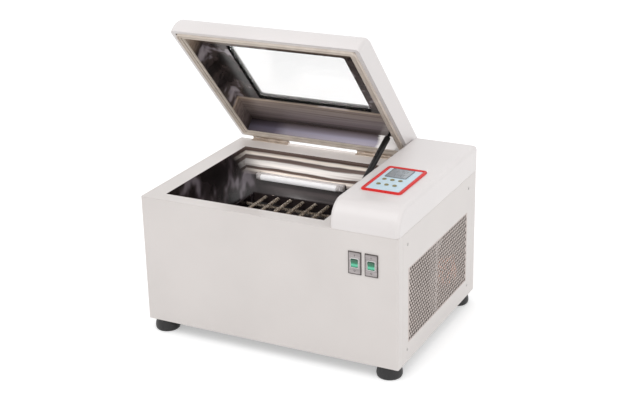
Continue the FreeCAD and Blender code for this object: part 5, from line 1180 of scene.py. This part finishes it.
leaf_low, leaf_high = corners("hinge_lower_leaves")
HINGE_LENGTH = 120 * MM
LEAF_SHEET = 1.6 * MM
SMALL_RADIUS, SMALL_HEIGHT = 2.4 * MM, 0.5 * MM
leaf_spots = [
    (start + HINGE_LENGTH * share, leaf_low[1] + 5 * MM, leaf_low[2] + LEAF_SHEET)
    for start in (leaf_low[0], leaf_high[0] - HINGE_LENGTH) for share in (0.12, 0.5, 0.88)
]
hinge_screws = grid_piece(
    "hinge_screws", screw_grids(leaf_spots, (0, 0, 1), SMALL_RADIUS, SMALL_HEIGHT, 9, 32), "zinc_screw")
ride_with(hinge_screws, "hinge_lower_leaves")
print(len(heads), "panel screws,", len(leaf_spots), "hinge screws")

# %% [markdown]
# ## Switch plates
# Each rocker sits in a silver face with a dark edge, inside a light raised rim, between the two
# common marks of a switch: a bar for on and a ring for off. The pieces are laid out flat, as if the
# panel lay on the bench, and then stood up on the front panel.



# %% Switch plates
def about(middle, half, radius, level):
    """Row for stacked_loops: a rectangle by its middle, half its size, its corners and its level."""
    return middle - half, middle + half, radius, level


switch_low, switch_high = corners("switch_frames")
PLATE_SIZE = np.array([35, 60]) * MM
PLATE_EDGE = 2.2 * MM
OPENING_HALF = np.array([9.6, 11.35]) * MM
RIM = 1.8 * MM
FACE_RISE = 0.4 * MM
RIM_RISE = 1.6 * MM


def stood_up(grid):
    """Grid laid flat, stood on the front panel: up becomes outwards, and back becomes up."""
    return np.stack([grid[..., 0], switch_low[1] - grid[..., 2], grid[..., 1]], axis=-1)


switch_middles = np.array([
    (switch_low[0] + PLATE_SIZE[0] / 2, (switch_low[2] + switch_high[2]) / 2),
    (switch_high[0] - PLATE_SIZE[0] / 2, (switch_low[2] + switch_high[2]) / 2),
])
face_half = PLATE_SIZE / 2 - PLATE_EDGE
hole_half = OPENING_HALF + RIM / 2
rim_section = np.array([
    (0, 0), (0, 0.7), (0.25, 1), (0.6, 0.95), (1, 0.4), (1, 0),
]) * (RIM, RIM_RISE)
bar_half = np.array([0.6, 2.6]) * MM
mark_shift = np.array([0, 20.5]) * MM
RING_HALF, RING_CORNER = 1.6 * MM, 1.59 * MM
mark_base, mark_top = FACE_RISE - 0.05 * MM, FACE_RISE + 0.15 * MM
ring_section = np.array([(0, mark_base), (0, mark_top), (0.9 * MM, mark_top), (0.9 * MM, mark_base)])
faces, rims, bars, rings = [], [], [], []
for middle in switch_middles:
    faces.append(stood_up(stacked_loops([
        about(middle, face_half, 1.5 * MM, 0), about(middle, face_half, 1.5 * MM, FACE_RISE),
        about(middle, hole_half, 0.8 * MM, FACE_RISE), about(middle, hole_half, 0.8 * MM, 0),
    ])))
    rims.append(stood_up(loop_band(
        middle - OPENING_HALF, middle + OPENING_HALF, 0.6 * MM, rim_section, 0)))
    bars.append(stood_up(stacked_loops([
        about(middle + mark_shift, bar_half, 0.3 * MM, level) for level in (mark_base, mark_top)
    ])))
    ring_middle = middle - mark_shift
    rings.append(stood_up(loop_band(
        ring_middle - RING_HALF, ring_middle + RING_HALF, RING_CORNER, ring_section, 0)))
switch_pieces = {
    "switch_faces": (faces, "switch_silver", True), "switch_rims": (rims, "switch_rim", True),
    "switch_bars": (bars, "printed_ink", False), "switch_rings": (rings, "printed_ink", True),
}
for name, (grids, material, closed) in switch_pieces.items():
    ride_with(grid_piece(name, grids, material, wrap_rows=closed), "switch_frames")
print("two switch plates at", (switch_middles / MM).round(1).tolist())

# %% [markdown]
# ## Display
# The display shows two rows of segment digits, a temperature and a speed. A digit is up to seven
# strokes, each a thin plate whose place in a cell of the digit is in a table.

# %% Display
lcd_low, lcd_high = corners("lcd_window")
STROKES = {
    "a": (0, 1, 0.5, 0), "b": (0.5, 0.5, 0, 0.5), "c": (0.5, -0.5, 0, 0.5), "d": (0, -1, 0.5, 0),
    "e": (-0.5, -0.5, 0, 0.5), "f": (-0.5, 0.5, 0, 0.5), "g": (0, 0, 0.5, 0),
}
DIGITS = {"0": "abcdef", "1": "bc", "3": "abcdg", "5": "acdfg", "7": "abc"}
DIGIT_WIDTH, DIGIT_HALF, STROKE_HALF = 7.5 * MM, 7 * MM, 0.75 * MM
DIGIT_STEP = 12 * MM
INK_RISE = 0.1 * MM
lcd_middle = (lcd_low + lcd_high) / 2
strokes = []
for text, row in (("370", 13 * MM), ("150", -13 * MM)):
    for place, digit in enumerate(text):
        middle = lcd_middle[:2] + ((place - 1) * DIGIT_STEP, row)
        for stroke in DIGITS[digit]:
            x, y, half_x, half_y = STROKES[stroke]
            spot = middle + (x * DIGIT_WIDTH, y * DIGIT_HALF)
            half = np.array([half_x * DIGIT_WIDTH, half_y * DIGIT_HALF]) + np.where(
                np.array([half_x, half_y]) > 0, -STROKE_HALF * 0.3, STROKE_HALF)
            strokes.append((spot - half, spot + half))
stroke_levels = lcd_high[2] - INK_RISE, lcd_high[2] + INK_RISE
stroke_grids = [
    stacked_loops([(low, high, 0.2 * MM, level) for level in stroke_levels], 2)
    for low, high in strokes
]
digits = grid_piece("display_digits", stroke_grids, "display_ink")
ride_with(digits, "lcd_window")
frame_section = np.array([(0, 0), (0, 0.7), (-0.3, 1), (-1.2, 1), (-1.6, 0.6), (-1.6, 0)]) * MM
lcd_frame = grid_piece(
    "display_frame", loop_band(lcd_low, lcd_high, 3 * MM, frame_section, lcd_high[2] - 0.4 * MM),
    "display_ink", wrap_rows=True)
ride_with(lcd_frame, "lcd_window")
print(len(strokes), "strokes of", len(DIGITS), "kinds of digit")

# %% [markdown]
# ## Lamp
# The lamp is a white tube with rounded ends that sit in short caps. It is a profile of radius and
# distance turned about the lamp's level axis.

# %% Lamp
tube_low, tube_high = corners("lamp_tube")
lamp_radius = (tube_high[2] - tube_low[2]) / 2
lamp_middle = (tube_low + tube_high) / 2
lamp_length = tube_high[0] - tube_low[0]
lamp_start = (tube_low[0], lamp_middle[1], lamp_middle[2])
glass_profile = np.array([
    (0.0, 0.0), (0.6, 0.0), (0.82, 0.5), (0.93, 1.0), (0.95, 2.0),
]) * (lamp_radius, 6 * MM)
mirrored = glass_profile[::-1] * (1, -1) + (0, lamp_length)
lamp_glass = grid_piece(
    "lamp_glass", turned_about(np.concatenate([glass_profile, mirrored]), lamp_start, (1, 0, 0), 32),
    "lamp_white")
stand_for(lamp_glass, "lamp_tube")
fitting_low, fitting_high = corners("lamp_holders")
BATTEN_DEPTH = 8 * MM
SOCKET = 10 * MM
SOCKET_HALF = 8 * MM
BAR_EDGE = 1 * MM


def lying_bar(x_ends, y_ends):
    """Bar with round edges along x: one rounded rectangle of y and z per row, smaller at both ends."""
    low = np.array([y_ends[0], lamp_middle[2] - SOCKET_HALF])
    high = np.array([y_ends[1], lamp_middle[2] + SOCKET_HALF])
    left, right = x_ends
    rows = stacked_loops([
        (low + inset, high - inset, 2 * BAR_EDGE, level) for inset, level in (
            (BAR_EDGE, left), (0, left + BAR_EDGE), (0, right - BAR_EDGE), (BAR_EDGE, right))
    ])
    return np.stack([rows[..., 2], rows[..., 0], rows[..., 1]], axis=-1)


wall_y = fitting_high[1]
fitting_left, fitting_right = fitting_low[0], fitting_high[0]
fitting = grid_piece("lamp_fitting", [
    lying_bar((fitting_left, fitting_right), (wall_y - BATTEN_DEPTH, wall_y)),
    lying_bar((fitting_left, fitting_left + SOCKET), (lamp_middle[1], wall_y)),
    lying_bar((fitting_right - SOCKET, fitting_right), (lamp_middle[1], wall_y)),
], "white_enamel_bright")
stand_for(fitting, "lamp_holders")
CAP_LENGTH = 9 * MM
cap_profile = np.array([
    (0.0, 0.0), (0.98, 0.0), (1.0, 0.06), (1.0, 0.9), (0.97, 1.0), (0.9, 1.0),
]) * (lamp_radius, CAP_LENGTH)
cap_ends = [turned_about(cap_profile, lamp_start, (1, 0, 0), 32),
            turned_about(cap_profile, lamp_start + np.array([lamp_length, 0, 0]), (-1, 0, 0), 32)]
caps = grid_piece("lamp_caps", cap_ends, "white_enamel_bright")
ride_with(caps, "lamp_tube")
print("lamp of", round(lamp_length / MM), "mm")

# %% [markdown]
# ## Gas strut
# The strut's black barrel hangs from the lid and its bright rod stands on the cabinet. Both are
# turned profiles along the line between the two pivots. Their eyes are short turned rings about the
# studs. The barrel's parts ride on the barrel, and the rod's parts on the rod.

# %% Gas strut
strut_way = np.array(joint_of["strut_slide"]["axis"])
strut_foot = np.array(joint_of["strut_swing"]["pos_m"])
EYE_RADIUS = 7 * MM
NECK = 26 * MM
POCKET_PLAY = 4 * MM


def reach_along(name):
    """Least and greatest distance of a node's points from the strut's foot, along the strut."""
    reach = (points_of(name) - strut_foot) @ strut_way
    return reach.min(), reach.max()


barrel_start, barrel_end = reach_along("strut_cylinder")
rod_end = reach_along("strut_rod")[1]
strut_head = barrel_end - EYE_RADIUS
barrel_top = strut_head - NECK
pocket_end = rod_end - joint_of["strut_slide"]["range_m"][0] + POCKET_PLAY


def stepped(*rows):
    """Profile of a radius in millimetres, a distance, and a step from it in millimetres per row."""
    return np.array([(radius * MM, start + step * MM) for radius, start, step in rows])


barrel_profile = stepped(
    (0, pocket_end, 0), (4.3, pocket_end, 0), (4.3, barrel_start, 0), (6.6, barrel_start, 0),
    (7.2, barrel_start, 1), (7.2, barrel_start, 4), (7.9, barrel_start, 5), (8.5, barrel_start, 7),
    (8.5, barrel_top, -6), (8.0, barrel_top, -2.5), (6.5, barrel_top, 0), (4.6, barrel_top, 1),
    (4.0, barrel_top, 3), (4.0, strut_head, -9), (5.2, strut_head, -8), (5.2, strut_head, -4),
    (0, strut_head, -4))
rod_profile = stepped(
    (0, 0, 4), (5.2, 0, 4), (5.2, 0, 11), (4.4, 0, 12.5), (3.96, 0, 13), (3.96, rod_end, -1),
    (3, rod_end, 0), (0, rod_end, 0))
eye_profile = np.array([
    (4.06, -4.5), (6.2, -4.5), (7, -3.7), (7, 3.7), (6.2, 4.5), (4.06, 4.5),
]) * MM
closed_eye = np.array([
    (0, -3.9), (4.4, -3.9), (5, -4.5), (6.2, -4.5), (7, -3.7),
    (7, 3.7), (6.2, 4.5), (5, 4.5), (4.4, 3.9), (0, 3.9),
]) * MM
strut_pieces = {
    "strut_barrel": (barrel_profile, 0, strut_way, 36, "strut_cylinder", "black_enamel", False),
    "barrel_eye": (closed_eye, strut_head, (1, 0, 0), 28, "strut_cylinder", "black_plastic", False),
    "strut_piston_rod": (rod_profile, 0, strut_way, 28, "strut_rod", "steel", False),
    "rod_eye": (eye_profile, 0, (1, 0, 0), 28, "strut_rod", "black_plastic", True),
}
for name, (profile, reach, axis, sides, node, finish_name, closed) in strut_pieces.items():
    grid = turned_about(profile, strut_foot + strut_way * reach, axis, sides)
    stand_for(grid_piece(name, grid, finish_name, wrap_rows=closed), node)
print("strut", round(strut_head / MM, 1), "mm between its pivots")

# %% [markdown]
# ## A lamp for the chamber alone
# A photographer would bounce a little light into the open chamber with a card. Here a soft spot
# lamp stands in for the card. It is linked to the chamber's own surfaces, so it adds nothing to the
# painted shell, also when the lid is closed under it.

# %% Chamber lamp
CHAMBER_LAMP, CHAMBER_POWER = (-0.15, -2.0, 2.3), 190
CHAMBER_CONE, CHAMBER_BLEND, CHAMBER_RADIUS = math.radians(12.5), 0.7, 0.12
CHAMBER_AIM = Vector((float(tub_low[0] + tub_high[0]) / 2, float(tub_high[1]), float(tub_high[2])))
lit_pieces = bpy.data.collections.new("chamber_lit")
for name in ("top_deck", "chamber_tub", "lid_liner", "hinge_lower_leaves", "hinge_upper_leaves"):
    lit_pieces.objects.link(rounded[name])
card = aimed_lamp("chamber_card", "SPOT", CHAMBER_LAMP, CHAMBER_AIM, CHAMBER_POWER)
card.data.spot_size = CHAMBER_CONE
card.data.spot_blend = CHAMBER_BLEND
card.data.shadow_soft_size = CHAMBER_RADIUS
card.light_linking.receiver_collection = lit_pieces
